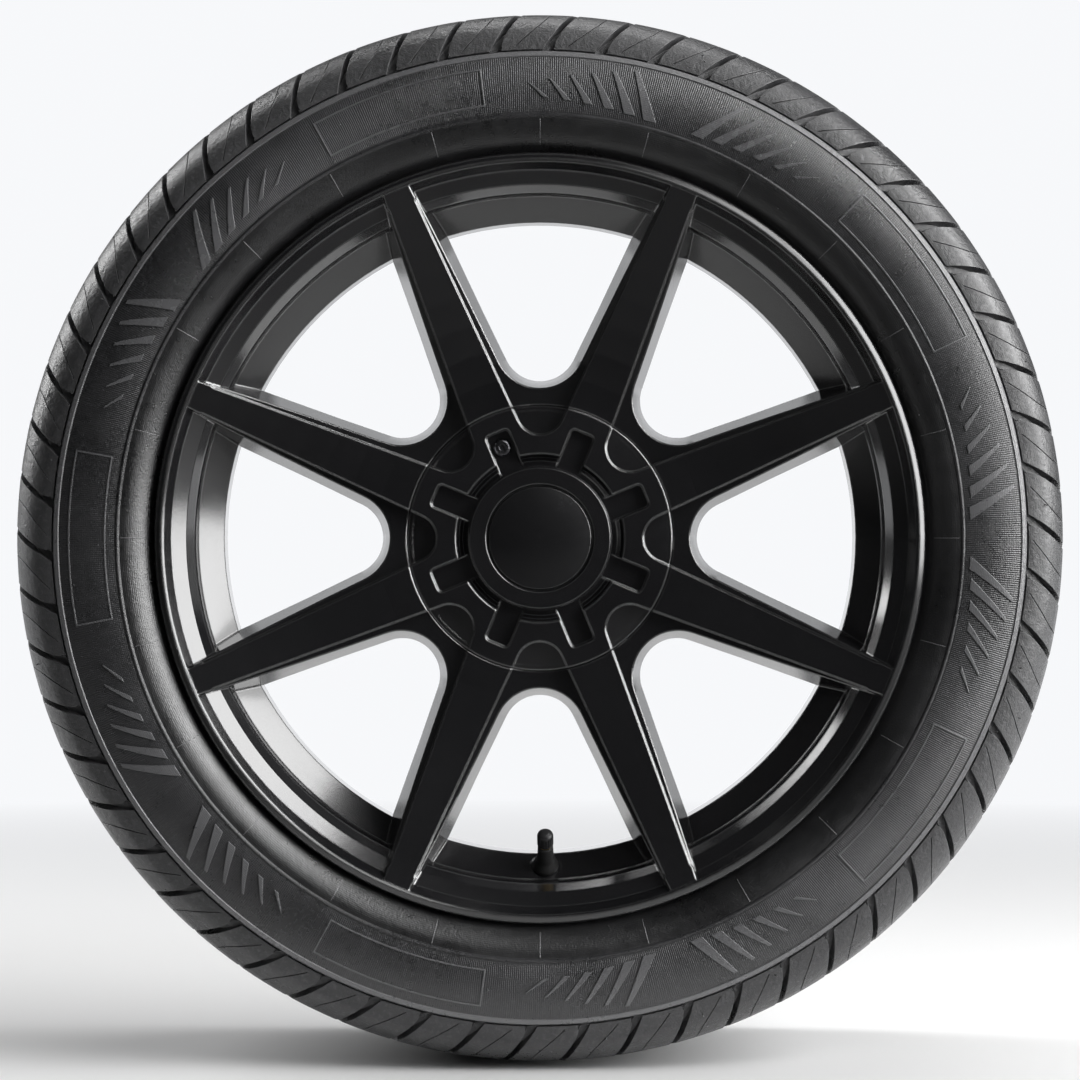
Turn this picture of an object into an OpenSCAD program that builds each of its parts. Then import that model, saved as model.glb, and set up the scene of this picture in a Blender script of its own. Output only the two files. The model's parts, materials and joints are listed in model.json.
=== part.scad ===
/* [Tyre] */
// Overall diameter over the tread
tyre_d = 652.3; // [646:0.1:662]
// Width over the sidewalls at their widest
section_w = 243; // [239:0.5:248]
// Diameter at which the sidewalls are widest
widest_d = 544; // [536:1:552]
// Radius of the sidewall's bulge in section
bulge_r = 68; // [60:1:90]
// Width of the tread before it rounds into the shoulders
tread_w = 170; // [164:1:176]
// Drop of the tread from its middle to where the shoulder starts
crown_drop = 3.5; // [2.5:0.1:5]
// Drop of the rounded shoulder
shoulder_drop = 25; // [22:0.5:28]
// Thickness of the tread and belts
tread_t = 14; // [12.5:0.5:16]
// Thickness of the sidewall
sidewall_t = 10.5; // [8:0.5:12]
// Width of each bead on the rim
bead_w = 18.5; // [17:0.5:20]
// Height of the two thin ribs round the sidewall
rib_h = 0.9; // [0.4:0.1:1.4]
// Diameter of the rib at the foot of the sidewall
lower_rib_d = 515; // [508:1:522]
// Open gap between the tyre and the top of the rim flange
flange_gap = 2.4; // [1.5:0.1:4]

/* [Tread] */
// Depth of the grooves
groove_depth = 7.5; // [5:0.5:8.5]
// Width of the grooves that run round the tyre
groove_w = 11; // [7:0.5:13]
// Distance of the inner grooves from the middle of the tread
inner_groove_z = 26; // [22:1:30]
// Distance of the outer grooves from the middle of the tread
outer_groove_z = 61; // [57:1:65]
// Grooves across each shoulder in one turn
shoulder_grooves = 58; // [48:1:64]
// Width of a shoulder groove
shoulder_groove_w = 4.2; // [3:0.1:6]
// Slant of a shoulder groove, seen from the front, in degrees
shoulder_groove_slant = 28; // [20:1:36]
// Sweep of the shoulder grooves across the tread, in degrees
shoulder_groove_sweep = 10.5; // [0:0.5:20]
// Depth of the step at the foot of the shoulder blocks
foot_step = 1.9; // [0.8:0.1:2.2]
// Length of the notches in the ribs between the grooves
notch_l = 15; // [8:0.5:17]
// Width of those notches
notch_w = 2.4; // [1.4:0.1:3]

/* [Rim] */
// Width between the rim flanges, where the beads sit
rim_w = 203.2; // [200:0.1:206]
// Diameter at the bead seats
seat_d = 436.6; // [434:0.1:439]
// Height of the flange above the bead seat
flange_h = 17.5; // [16.5:0.1:18.5]
// Radius over which the flange curls outwards
curl_r = 9.5; // [8.5:0.1:10.5]
// Radius of the corner between seat and flange
heel_r = 6.5; // [4:0.5:7]
// Slope of the bead seats in degrees
seat_taper = 5; // [4:0.5:6]
// Height of the safety hump beside each seat
hump_h = 1.2; // [0.6:0.1:1.5]
// Depth of the well under the bead seats
well_depth = 17; // [16:0.1:18]
// Length of the well's flat bottom
well_l = 22; // [16:1:28]
// Wall of the barrel
barrel_wall = 5.4; // [4.5:0.1:6.5]
// Wall of the well
well_wall = 4.8; // [4:0.1:6]
// Depth by which the front lip's inner edge lies behind its nose
lip_slope_h = 7; // [5:0.5:9]

/* [Disc and spokes] */
// Distance of the mounting face in front of the rim's middle plane
offset = 38; // [32:1:42]
// Number of spokes
spokes = 8; // [7:1:9]
// Height of the face above the mounting face at the centre cover's edge
hub_h = 51; // [48:0.5:54]
// Half width of a spoke's face at the centre cover's edge
face_half_in = 14.7; // [13:0.1:15.5]
// Half width of a spoke's face at the lip
face_half_out = 8; // [6.5:0.1:9]
// Half width of a spoke's back at the cover's edge, if its sides ran so far
back_half_in = 22.6; // [22:0.1:24.5]
// Half width of a spoke's back at the lip
back_half_out = 17.2; // [16:0.1:18.5]
// Draft of a window's walls in degrees
window_draft = 9.5; // [8:0.5:12]
// Distance from the axis to a window's inner end at the back
window_in_r = 96; // [94:0.5:99]
// Distance from the axis to the inner end of the scallop before each window
scallop_in_r = 63.8; // [62:0.1:66]
// Radius of the corners where a window meets the lip
mouth_corner = 5; // [2:0.5:8]
// Depth of the step beside a spoke's face at the lip
step_lip = 5; // [3:0.5:7]
// Depth of the step beside a spoke's face at the cover's edge
step_hub = 8.8; // [7:0.1:10]
// Height of the disc's back above the mounting face, by the windows' inner ends
disc_back_in = 13; // [11:0.5:15]
// Height of the disc's back above the mounting face, halfway from there to the barrel
disc_back_out = 19; // [17:0.5:21]
// Width of the hollow in each spoke's back
back_pocket_w = 16; // [10:1:18]
// Depth of that hollow
back_pocket_depth = 12; // [6:1:15]

/* [Hub] */
// Diameter of the centre bore
bore_d = 73.1; // [66:0.1:74]
// Diameter of the mounting pad
pad_d = 150; // [146:1:156]
// Number of wheel bolts
bolts = 5; // [4:1:6]
// Diameter of the bolt circle
bolt_circle_d = 114.3; // [112:0.1:115]
// Diameter of the bolt holes
bolt_hole_d = 14.4; // [13:0.1:15.5]
// Thickness of metal under a wheel nut
bolt_land = 12; // [10:0.5:14]
// Diameter of the socket well over each bolt hole
socket_d = 29; // [27:0.5:30]
// Height of the hub inside the centre cover, above the mounting face
hub_inner_h = 22; // [18:1:24]

/* [Centre cover] */
// Diameter of the centre cover
cover_d = 164; // [162:0.5:165]
// Gap round the cover
cover_gap = 0.4; // [0.2:0.1:0.8]
// Wall of the cover
cover_wall = 3; // [2:0.1:3.2]
// Depth of the ring groove and of the pockets
pocket_depth = 6.2; // [4:0.1:7]
// Outer diameter of the ring groove round the cap
ring_groove_d = 103; // [100:0.5:106]
// Distance from the axis to the outer end of the pockets
pocket_out_r = 70.5; // [68:0.1:72]
// Width of a pocket
pocket_w = 15.4; // [14:0.1:16]
// Corner radius of a pocket
pocket_corner = 3; // [1:0.1:4]
// Depth of the scallops at their inner ends
scallop_depth = 6; // [5:0.1:6.8]
// Height of the cover's rim
cover_rim_h = 13; // [11:0.5:15]
// Distance of the screw from the axis
screw_r = 60.5; // [59.5:0.1:62]
// Diameter of the screw's thread
screw_d = 6; // [5:0.5:6]
// Length of the screw under its head
screw_l = 24; // [20:1:26]

/* [Cap] */
// Diameter of the centre cap
cap_d = 89; // [86:0.5:92]
// Height of the cap's rim above the groove's floor
cap_h = 8.4; // [6:0.1:10]
// Diameter of the cap's dome
dome_d = 63; // [58:0.5:68]
// Height of the dome's crown over its edge
dome_h = 3.4; // [2:0.1:5]
// Diameter of the hole in the cover that the cap clips into
cap_hole_d = 78; // [74:0.5:79]
// Number of clip fingers
clips = 8; // [6:1:10]
// Length of the clip fingers
clip_l = 13; // [11:0.5:15]
// Wire of the ring that spreads the fingers
wire_d = 2; // [1.6:0.1:2.4]

/* [Valve] */
// Angle by which the valve stands off the middle of its window
valve_turn = 1; // [-2:0.5:2]
// Diameter of the valve hole
valve_hole_d = 11.5; // [11.3:0.1:11.9]
// Wall left at the valve hole
valve_land = 4; // [3.5:0.1:4.5]
// Diameter of the rubber head inside the tyre
valve_head_d = 18; // [16:0.5:19]
// Diameter of the rubber bulge outside the rim
valve_bulge_d = 16; // [14:0.5:18]
// Length of the rubber outside the rim
valve_rubber_l = 20; // [18:0.5:22]
// Length of the bare thread beyond the rubber
valve_thread_l = 9.5; // [9:0.5:11]
// Diameter of the valve's thread
valve_thread_d = 7.7; // [7.5:0.1:7.9]
// Travel of the valve pin
pin_travel = 1.5; // [1:0.1:1.8]
// Outer diameter of the dust cap
dust_cap_d = 10; // [9.6:0.1:11]
// Thread that the dust cap covers
dust_cap_grip = 8; // [6:0.5:8.5]

/* [Hidden] */
$fn = 96;
// Length that is longer than the whole wheel
far = 400;
// Overlap that makes outlines cross where they would only touch
touch = 0.03;

tyre_r = tyre_d / 2;
section_half = section_w / 2;
widest_r = widest_d / 2;
tread_edge = tread_w / 2;
edge_r = tyre_r - crown_drop;
shoulder_r = edge_r - shoulder_drop;
lower_rib_r = lower_rib_d / 2;
rib_w = 2.4;
upper_rib_r = shoulder_r - 2.6;
groove_draft = 1.2;
bead_bulge = 2.2;

half_w = rim_w / 2;
seat_r = seat_d / 2;
flange_r = seat_r + flange_h;
curl_c_r = flange_r - curl_r;
curl_c_z = half_w + curl_r;
lip_t = 4.3;
nose_z = curl_c_z + lip_t;
nose_r = flange_r - lip_t;
well_r = seat_r - well_depth;
well_in_r = well_r - well_wall;
well_slope = 45;
bead_toe_z = half_w - bead_w;
toe_clear = 0.2;
hump_half_w = 3.3;
hump_foot_z = bead_toe_z - toe_clear;
hump_top_z = hump_foot_z - hump_half_w;
drop_z = hump_top_z - hump_half_w - 0.9;
drop_r = seat_at(hump_top_z);
well_front_z = drop_z - (drop_r - well_r) / tan(well_slope);
well_back_z = well_front_z - well_l;
rear_slope = 35;
barrel_r = drop_r - 2.8;
barrel_z = well_back_z - (barrel_r - well_r) / tan(rear_slope);
barrel_in_r = barrel_r - barrel_wall;
seat_in_r = drop_r - barrel_wall;
// Point on the inside of the slope down to the well, and the two ends of that slope
drop_in = [drop_r, drop_z] + (barrel_wall + 0.6) * [-sin(well_slope), cos(well_slope)];
slope_top = [seat_in_r, drop_in[1] - (drop_in[0] - seat_in_r) / tan(90 - well_slope)];
slope_foot = [well_in_r, drop_in[1] - (drop_in[0] - well_in_r) / tan(90 - well_slope)];

spoke_pitch = 360 / spokes;
screw_angle = 2.5 * spoke_pitch;
valve_angle = round(spokes * 0.75) * spoke_pitch + valve_turn;
hub_z = offset + hub_h;
cover_r = cover_d / 2;
lip_face_r = nose_r - 1.4;
mouth_out_r = lip_face_r - 6;
lip_face_z = nose_z - 0.9;
floor_z = hub_z - pocket_depth;
rim_z = hub_z - cover_rim_h;
inner_z = offset + hub_inner_h;
bolt_circle_r = bolt_circle_d / 2;
bolt_phase = screw_angle - 180 / bolts;
pad_back = 3;

cap_r = cap_d / 2;
dome_r = dome_d / 2;
cap_hole_r = cap_hole_d / 2;
groove_r = ring_groove_d / 2;
cap_top_z = floor_z + cap_h;
clip_wall = 2;
clip_clear = 0.3;
clip_r = cap_hole_r - clip_clear;
clip_barb = 1.2;
wire_r = wire_d / 2;

// Point on the tread's curve at distance z from its middle
function crown_r(z) = tyre_r - crown_drop * pow(abs(z) / tread_edge, 2.4);
// Distance of the sidewall from the middle plane at radius r
function side_z(r) = section_half - pow(r - widest_r, 2) / (2 * bulge_r);
function mirrored(points) = [for (i = [len(points) - 1:-1:0]) [points[i][0], -points[i][1]]];
function lerp(a, b, t) = a + (b - a) * t;
function flip(p) = [p[0], -p[1]];

// Tyre

shoulder_z = side_z(shoulder_r);

// Section of a groove that runs round the tread
function round_groove(z) = [
    [crown_r(z - groove_w / 2), z - groove_w / 2],
    [crown_r(z) - groove_depth, z - groove_w / 2 + groove_draft],
    [crown_r(z) - groove_depth, z + groove_w / 2 - groove_draft],
    [crown_r(z + groove_w / 2), z + groove_w / 2]
];

function side_rib(r) = [
    [r + rib_w / 2, side_z(r + rib_w / 2)],
    [r + rib_w / 4, side_z(r) + rib_h],
    [r - rib_w / 4, side_z(r) + rib_h],
    [r - rib_w / 2, side_z(r - rib_w / 2)]
];

// Seat, heel corner and flange, from the top of the curl inwards; the tyre and the rim share it
function flange_arc(from, to, step, gap) = [
    for (a = [from:-step:to])
        [curl_c_r + (curl_r + gap) * sin(a), curl_c_z - (curl_r + gap) * cos(a)]
];
function heel_arc() = [
    for (a = [0:30:90])
        [seat_r + heel_r - heel_r * sin(a), half_w - heel_r + heel_r * cos(a)]
];
function seat_at(z) = seat_r - (half_w - heel_r - z) * tan(seat_taper);

bead_out = [
    curl_c_r + (curl_r + flange_gap) * sin(85),
    curl_c_z - (curl_r + flange_gap) * cos(85)
];
bead_in_r = lower_rib_r - rib_w / 2;

function tyre_outer() = concat(
    [[crown_r(9), 9]],
    round_groove(inner_groove_z),
    [[crown_r((inner_groove_z + outer_groove_z) / 2), (inner_groove_z + outer_groove_z) / 2]],
    round_groove(outer_groove_z),
    [
        for (a = [0:15:90])
            [edge_r - shoulder_drop * (1 - cos(a)), tread_edge + (shoulder_z - tread_edge) * sin(a)]
    ],
    [[shoulder_r - 0.2, shoulder_z - foot_step]],
    side_rib(upper_rib_r),
    [
        for (t = [0.17:0.166:0.9])
            let (r = lerp(upper_rib_r - rib_w / 2, lower_rib_r + rib_w / 2, t))
                [r, side_z(r)]
    ],
    side_rib(lower_rib_r),
    [
        for (t = [0.25:0.25:0.75])
            [
                lerp(bead_in_r, bead_out[0], t),
                lerp(side_z(bead_in_r), bead_out[1], t) + bead_bulge * sin(180 * t)
            ]
    ],
    [bead_out],
    flange_arc(60, 0, 15, 0),
    heel_arc(),
    [[seat_at(bead_toe_z), bead_toe_z]]
);

liner_edge_z = tread_edge - 5;
liner_turn_r = edge_r - tread_t - 20;
liner_turn_z = side_z(liner_turn_r) - sidewall_t;
liner_edge_r = crown_r(liner_edge_z) - tread_t;
liner_foot_r = seat_r + 36;

function tyre_inner() = concat(
    [
        [seat_r + 5, bead_toe_z + 1],
        [seat_r + 20, half_w - 8],
        [seat_r + 28, half_w - 0.5]
    ],
    [for (t = [0:0.25:0.75]) let (r = lerp(liner_foot_r, liner_turn_r, t)) [r, side_z(r) - sidewall_t]],
    [
        for (a = [0:22.5:90])
            [
                liner_turn_r + (liner_edge_r - liner_turn_r) * sin(a),
                liner_edge_z + (liner_turn_z - liner_edge_z) * cos(a)
            ]
    ],
    [[crown_r(40) - tread_t, 40]]
);

slot_pivot_r = edge_r - shoulder_drop / 2;
slot_side_depth = 2.5;

// Section of a shoulder groove, along its own slanted wall and across the tyre
function slot_section() = concat(
    [[tyre_r + 5, outer_groove_z], [tyre_r + 5, section_half + 4], [shoulder_r - 0.5, section_half + 4]],
    [
        for (a = [90:-30:0])
            [
                edge_r - groove_depth - (shoulder_drop - groove_depth) * (1 - cos(a)),
                tread_edge + (shoulder_z - slot_side_depth - tread_edge) * sin(a)
            ]
    ],
    [[crown_r(outer_groove_z) - groove_depth, outer_groove_z]]
);

module shoulder_slots() {
    for (i = [0:shoulder_grooves - 1])
        rotate([0, 0, i * 360 / shoulder_grooves])
            translate([slot_pivot_r, 0, tread_edge])
                rotate([-shoulder_groove_sweep, 0, 0])
                    rotate([0, 0, -shoulder_groove_slant])
                        rotate([90, 0, 0])
                            translate([0, -tread_edge, -shoulder_groove_w / 2])
                                linear_extrude(shoulder_groove_w)
                                    polygon([
                                        for (p = slot_section())
                                            [(p[0] - slot_pivot_r) / cos(shoulder_groove_slant), p[1]]
                                    ]);
}

// Short slanted notches that open into a groove
module notches(z, side) {
    for (i = [0:shoulder_grooves - 1])
        rotate([0, 0, (i + 0.5) * 360 / shoulder_grooves])
            translate([crown_r(z) - groove_depth * 0.8, 0, z])
                rotate([30 * side, 0, 0])
                    translate([0, -notch_w / 2, side > 0 ? -notch_l : 0])
                        cube([groove_depth * 2, notch_w, notch_l]);
}

module tread_side() {
    shoulder_slots();
    notches(outer_groove_z - groove_w / 2 + 1.5, 1);
}

module tyre() {
    color("#1c1c1e")
        wheel_axes()
            difference() {
                rotate_extrude() polygon(concat(
                    tyre_outer(), tyre_inner(), mirrored(tyre_inner()), mirrored(tyre_outer())
                ));
                tread_side();
                rotate([180, 0, 0]) tread_side();
            }
}

// Wheel

module wheel_axes() {
    rotate([90, 0, 0]) children();
}

function lip_nose() = [
    [nose_r - 1.6, nose_z - 0.8],
    [nose_r, nose_z],
    [flange_r - 1.2, nose_z - 1.1],
    [flange_r, curl_c_z + 1]
];

// Flange, heel, seat and hump, from the top of the flange inwards
function rim_edge() = concat(
    flange_arc(90, 0, 15, 0),
    heel_arc(),
    [[seat_at(hump_foot_z), hump_foot_z], [seat_at(hump_top_z) + hump_h, hump_top_z]]
);

lip_edge_r = nose_r - 6.2;
lip_edge_z = nose_z - lip_slope_h;

function rim_inner() = [
    [lip_edge_r, lip_edge_z],
    [lip_edge_r - 8.5, lip_edge_z - 4.2],
    [seat_in_r + 0.5, lip_edge_z - 8.4],
    [seat_in_r, lip_edge_z - 13],
    slope_top,
    slope_foot,
    [well_in_r, well_back_z + 1.5],
    [barrel_in_r, barrel_z - 2],
    [barrel_in_r, 8 - hump_top_z],
    [seat_in_r + 0.3, -hump_top_z - 4],
    [seat_in_r + 0.3, heel_r - half_w],
    [seat_in_r + 8, -half_w - 3.2],
    [lip_edge_r + 1, -nose_z + 5]
];

module barrel() {
    rotate_extrude() polygon(concat(
        lip_nose(),
        rim_edge(),
        [[drop_r, drop_z], [well_r, well_front_z], [well_r, well_back_z], [barrel_r, barrel_z]],
        [[barrel_r, 4 - drop_z]],
        mirrored(rim_edge()),
        mirrored(lip_nose()),
        [for (i = [len(rim_inner()) - 1:-1:0]) rim_inner()[i]]
    ));
}

// Height of the face at radius r, slightly dished
function face_z(r) =
    r <= cover_r ? hub_z : hub_z + (lip_face_z - hub_z) * pow((r - cover_r) / (lip_face_r - cover_r), 1.6);
// Floor of the scallop by the hub and of the step beside a spoke's face further out
function step_z(r) =
    face_z(r) - lerp(step_hub, step_lip, min(max((r - cover_r) / (lip_face_r - cover_r), 0), 1));

function face_curve() = [for (t = [0:0.125:1]) let (r = lerp(cover_r, lip_face_r, t)) [r, face_z(r)]];

disc_back_z = offset + disc_back_in;

module disc_blank() {
    rotate_extrude() polygon(concat(
        [[bore_d / 2, offset], [pad_d / 2, offset], [pad_d / 2 + 3, offset + pad_back]],
        [
            [window_in_r - 6, offset + 8],
            [window_in_r + 14, disc_back_z],
            [(window_in_r + well_in_r) / 2, offset + disc_back_out],
            [well_in_r + 2, well_front_z + 1],
            [seat_in_r + 2, drop_in[1]],
            [seat_in_r + 2, lip_edge_z - 8],
            [lip_face_r, lip_edge_z - 1]
        ],
        [for (i = [len(face_curve()) - 1:-1:0]) face_curve()[i]],
        [[bore_d / 2, hub_z]]
    ));
}

// Side line of a spoke, as seen in the frame of the window next to it
function spoke_edge(r, half) = [
    r * cos(spoke_pitch / 2) + half * sin(spoke_pitch / 2),
    r * sin(spoke_pitch / 2) - half * cos(spoke_pitch / 2)
];
// Circle that touches both side lines, with its inner end at in_r: [distance, radius, line's angle]
function end_circle(in_half, out_half, in_r) =
    let (p = spoke_edge(cover_r, in_half))
    let (q = spoke_edge(lip_face_r, out_half))
    let (a = atan2(q[1] - p[1], q[0] - p[0]))
    let (apex = p[0] - p[1] / tan(a))
    let (c = (in_r - apex * sin(a)) / (1 - sin(a)))
    [c, (c - apex) * sin(a), a];

mouth = end_circle(face_half_in, face_half_out, scallop_in_r);
throat = end_circle(back_half_in, back_half_out, window_in_r);
throat_z = offset + 24;
throat_low_z = offset - 4;
throat_high_z = nose_z + 6;

// Outline of a window's mouth with round corners at the lip, and its walls moved out by grow
module mouth_outline(grow) {
    c = [mouth[0], 0];
    r = mouth[1] + grow;
    k = mouth_corner;
    along = [cos(mouth[2]), sin(mouth[2])];
    out = [-sin(mouth[2]), cos(mouth[2])];
    foot = c + (r - k) * out;
    t = foot * along;
    corner = foot + (sqrt(t * t + pow(mouth_out_r - k, 2) - foot * foot) - t) * along;
    start = c + (r - touch) * out;
    end = corner + (k - touch) * out;
    translate(c) circle(r);
    polygon([flip(start), start, end, flip(end)]);
    intersection() {
        circle(mouth_out_r);
        polygon([flip(0.9 * corner), 0.9 * corner, 1.2 * corner, flip(1.2 * corner)]);
    }
    for (p = [corner, flip(corner)])
        translate(p) circle(k + touch);
}

// Space above the scallop's floor and the steps, lowered by drop
module above_steps(drop) {
    top = nose_z + 20;
    rotate_extrude() polygon(concat(
        [[scallop_in_r - 8, top], [scallop_in_r - 8, hub_z - scallop_depth - drop]],
        [for (t = [0:0.2:1]) let (r = lerp(cover_r, mouth_out_r + 1, t)) [r, step_z(r) - drop]],
        [[mouth_out_r + 1, top]]
    ));
}

module mouth_cut(grow, drop) {
    for (i = [0:spokes - 1])
        rotate([0, 0, i * spoke_pitch])
            intersection() {
                above_steps(drop);
                translate([0, 0, hub_z - step_hub - drop - 6]) linear_extrude(far / 4) mouth_outline(grow);
            }
}

function throat_r(z) = throat[1] + (z - throat_z) * tan(window_draft);

// Through part of a window: a drafted cone at the hub end and straight drafted sides
module throat_cut() {
    a = throat[2];
    l = 170;
    z0 = throat_low_z;
    z1 = throat_high_z;
    h = z1 - z0;
    translate([throat[0], 0, z0]) cylinder(r1 = throat_r(z0), r2 = throat_r(z1), h = h);
    intersection() {
        for_side(1, a, z0, h, l);
        for_side(-1, a, z0, h, l);
        translate([throat[0], 0, throat_z])
            rotate([0, -atan(sin(a) * tan(window_draft)), 0])
                translate([-throat[1] * sin(a), -far / 2, -far / 2])
                    cube([l, far, far]);
        translate([0, -far / 2, z0]) cube([far, far, h]);
    }
}

// Half space inside one drafted side of a window
module for_side(side, a, z0, h, l) {
    translate([throat[0], 0, throat_z])
        rotate([0, 0, side * a])
            translate([0, side * throat[1], 0])
                rotate([-side * window_draft, 0, 0])
                    translate([-far / 2, side > 0 ? -far : 0, -far / 2])
                        cube([far, far, far]);
}

module throat_cuts() {
    for (i = [0:spokes - 1])
        rotate([0, 0, i * spoke_pitch]) throat_cut();
}

// Recess that takes the centre cover, and the bowl behind it
module cover_recess() {
    r = cover_r + cover_gap;
    bowl_r = cover_r - 8;
    rotate_extrude() polygon([
        [0, inner_z], [bowl_r - 3, inner_z], [bowl_r, inner_z + 3], [bowl_r, rim_z],
        [r, rim_z], [r, far / 2], [0, far / 2]
    ]);
}

module screw_boss() {
    rotate([0, 0, screw_angle])
        translate([screw_r, 0, inner_z - 2])
            cylinder(d = screw_d * 2.2, h = floor_z - cover_wall - inner_z + 2);
}

module back_pockets() {
    r0 = window_in_r + 12;
    r1 = window_in_r + 84;
    for (i = [0:spokes - 1])
        rotate([0, 0, (i + 0.5) * spoke_pitch])
            translate([r0, 0, disc_back_z + back_pocket_depth])
                rotate([0, -atan((well_front_z - disc_back_z) / (r1 - r0)) + 2, 0])
                    translate([0, 0, -far / 8])
                        linear_extrude(far / 8) {
                            circle(d = back_pocket_w);
                            translate([0, -back_pocket_w / 2]) square([r1 - r0, back_pocket_w]);
                            translate([r1 - r0, 0]) circle(d = back_pocket_w);
                        }
}

module pad_pockets() {
    for (i = [0:bolts - 1])
        rotate([0, 0, bolt_phase + (i + 0.5) * 360 / bolts])
            translate([bolt_circle_r + 3, 0, offset - 1])
                linear_extrude(7) {
                    translate([0, -11]) circle(r = 6);
                    translate([0, 11]) circle(r = 6);
                    translate([-6, -11]) square([12, 22]);
                }
}

module bolt_holes() {
    for (i = [0:bolts - 1])
        rotate([0, 0, bolt_phase + i * 360 / bolts])
            translate([bolt_circle_r, 0, 0]) {
                translate([0, 0, offset - 1]) cylinder(d = bolt_hole_d, h = far / 8);
                translate([0, 0, offset + bolt_land]) cylinder(d = socket_d, h = far / 8);
                translate([0, 0, offset + bolt_land - 4])
                    cylinder(d1 = bolt_hole_d, d2 = bolt_hole_d + 8 * tan(30), h = 4);
            }
}

module alloy_wheel() {
    color("#2a2b2d")
        wheel_axes()
            difference() {
                union() {
                    barrel();
                    difference() {
                        disc_blank();
                        throat_cuts();
                        mouth_cut(0, 0);
                        cover_recess();
                        back_pockets();
                    }
                    screw_boss();
                }
                bolt_holes();
                pad_pockets();
                translate([0, 0, offset - 1]) cylinder(d = bore_d, h = far / 4);
                rotate([0, 0, screw_angle])
                    translate([screw_r, 0, floor_z - cover_wall - screw_l])
                        cylinder(d = screw_d + 0.1, h = screw_l + 1);
                valve_hole();
            }
}

// Centre cover

module pocket_outline(grow) {
    r = pocket_corner;
    w = pocket_w / 2 + grow - r;
    x0 = cap_r - 2;
    x1 = pocket_out_r + grow - r;
    translate([x0, -w - r]) square([x1 - x0, 2 * (w + r)]);
    translate([x0, -w]) square([x1 - x0 + r, 2 * w]);
    for (s = [-1, 1])
        translate([x1, s * w]) circle(r);
}

module pocket_cut(grow, drop) {
    for (i = [0:spokes - 1])
        rotate([0, 0, (i + 0.5) * spoke_pitch])
            translate([0, 0, floor_z - drop])
                linear_extrude(pocket_depth + drop + 2) pocket_outline(grow);
}

// Hollow wall of the ring groove, from its foot beside the cap up to the cover's face
module cover_section() {
    foot_r = cap_r + 0.6;
    wall_w = groove_r - foot_r;
    polygon(concat(
        [[cap_hole_r, floor_z - cover_wall], [cap_hole_r, floor_z]],
        [for (a = [0:25:75]) [foot_r + wall_w * sin(a), floor_z + pocket_depth * (1 - cos(a))]],
        [[groove_r, hub_z - 0.7], [groove_r + 0.7, hub_z]],
        [[cover_r - 0.5, hub_z], [cover_r, hub_z - 0.5], [cover_r, rim_z]],
        [[cover_r - cover_wall, rim_z], [cover_r - cover_wall, floor_z - cover_wall]]
    ));
}

module centre_cover() {
    color("#2c2d2f")
        wheel_axes()
            difference() {
                rotate_extrude() cover_section();
                pocket_cut(0, 0);
                mouth_cut(0, 0);
                difference() {
                    rotate_extrude() polygon([
                        [groove_r + cover_wall + 0.8, rim_z], [cover_r - cover_wall, rim_z],
                        [cover_r - cover_wall, hub_z - cover_wall],
                        [groove_r + cover_wall + 0.8, hub_z - cover_wall]
                    ]);
                    pocket_cut(cover_wall * 0.7, cover_wall);
                    mouth_cut(cover_wall, cover_wall);
                }
                rotate([0, 0, screw_angle])
                    translate([screw_r, 0, rim_z - 1])
                        cylinder(d = screw_d + 0.8, h = hub_z - rim_z);
            }
}

module cover_screw() {
    head_r = screw_d * 0.95;
    head_h = screw_d * 0.55;
    color("#17181a")
        wheel_axes()
            rotate([0, 0, screw_angle])
                translate([screw_r, 0, floor_z]) {
                    difference() {
                        rotate_extrude() polygon(concat(
                            [[0, -screw_l], [screw_d / 2 - 0.6, -screw_l], [screw_d / 2, 0.6 - screw_l]],
                            [[screw_d / 2, 0], [head_r, 0], [head_r, head_h * 0.25]],
                            [for (a = [15:15:75]) [head_r * cos(a * 0.66), head_h * (0.25 + 0.75 * sin(a))]],
                            [[head_r * 0.6, head_h], [0, head_h]]
                        ));
                        translate([0, 0, head_h - 2]) cylinder(r = 2.3, h = 3, $fn = 6);
                    }
                }
}

// Centre cap

module cap_body() {
    low = floor_z - clip_l;
    catch_z = floor_z - cover_wall - 0.3;
    plate_z = cap_top_z - 4.4;
    slot_w = 8;
    color("#26272a")
        wheel_axes()
            difference() {
                rotate_extrude() polygon([
                    [0, plate_z], [clip_r - clip_wall, plate_z], [clip_r - clip_wall, low], [clip_r - 0.6, low],
                    [clip_r + clip_barb, catch_z - 2], [clip_r + clip_barb, catch_z - 1], [clip_r, catch_z],
                    [clip_r, floor_z], [cap_r - 0.6, floor_z],
                    [cap_r, floor_z + 0.6], [cap_r, cap_top_z - 1.4], [cap_r - 1.4, cap_top_z],
                    [dome_r + 2.1, cap_top_z - 0.2], [dome_r + 1.5, cap_top_z - 0.8],
                    [dome_r + 1.1, cap_top_z - 2], [dome_r + 0.1, cap_top_z - 2],
                    [dome_r + 0.1, cap_top_z - 2.6], [0, cap_top_z - 2.6]
                ]);
                for (i = [0:clips - 1])
                    rotate([0, 0, (i + 0.5) * 360 / clips])
                        translate([clip_r - clip_wall - 3, -slot_w / 2, low - 1])
                            cube([clip_wall + clip_barb + 6, slot_w, clip_l + 0.5]);
            }
}

module cap_dome() {
    z = cap_top_z - 2.6;
    edge = 1.9;
    ball = (dome_r * dome_r + dome_h * dome_h) / (2 * dome_h);
    color("#303134")
        wheel_axes()
            rotate_extrude() polygon(concat(
                [[0, z], [dome_r, z]],
                [
                    for (t = [1:-0.125:0])
                        [dome_r * t, z + edge + dome_h - ball + sqrt(ball * ball - pow(dome_r * t, 2))]
                ]
            ));
}

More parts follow.
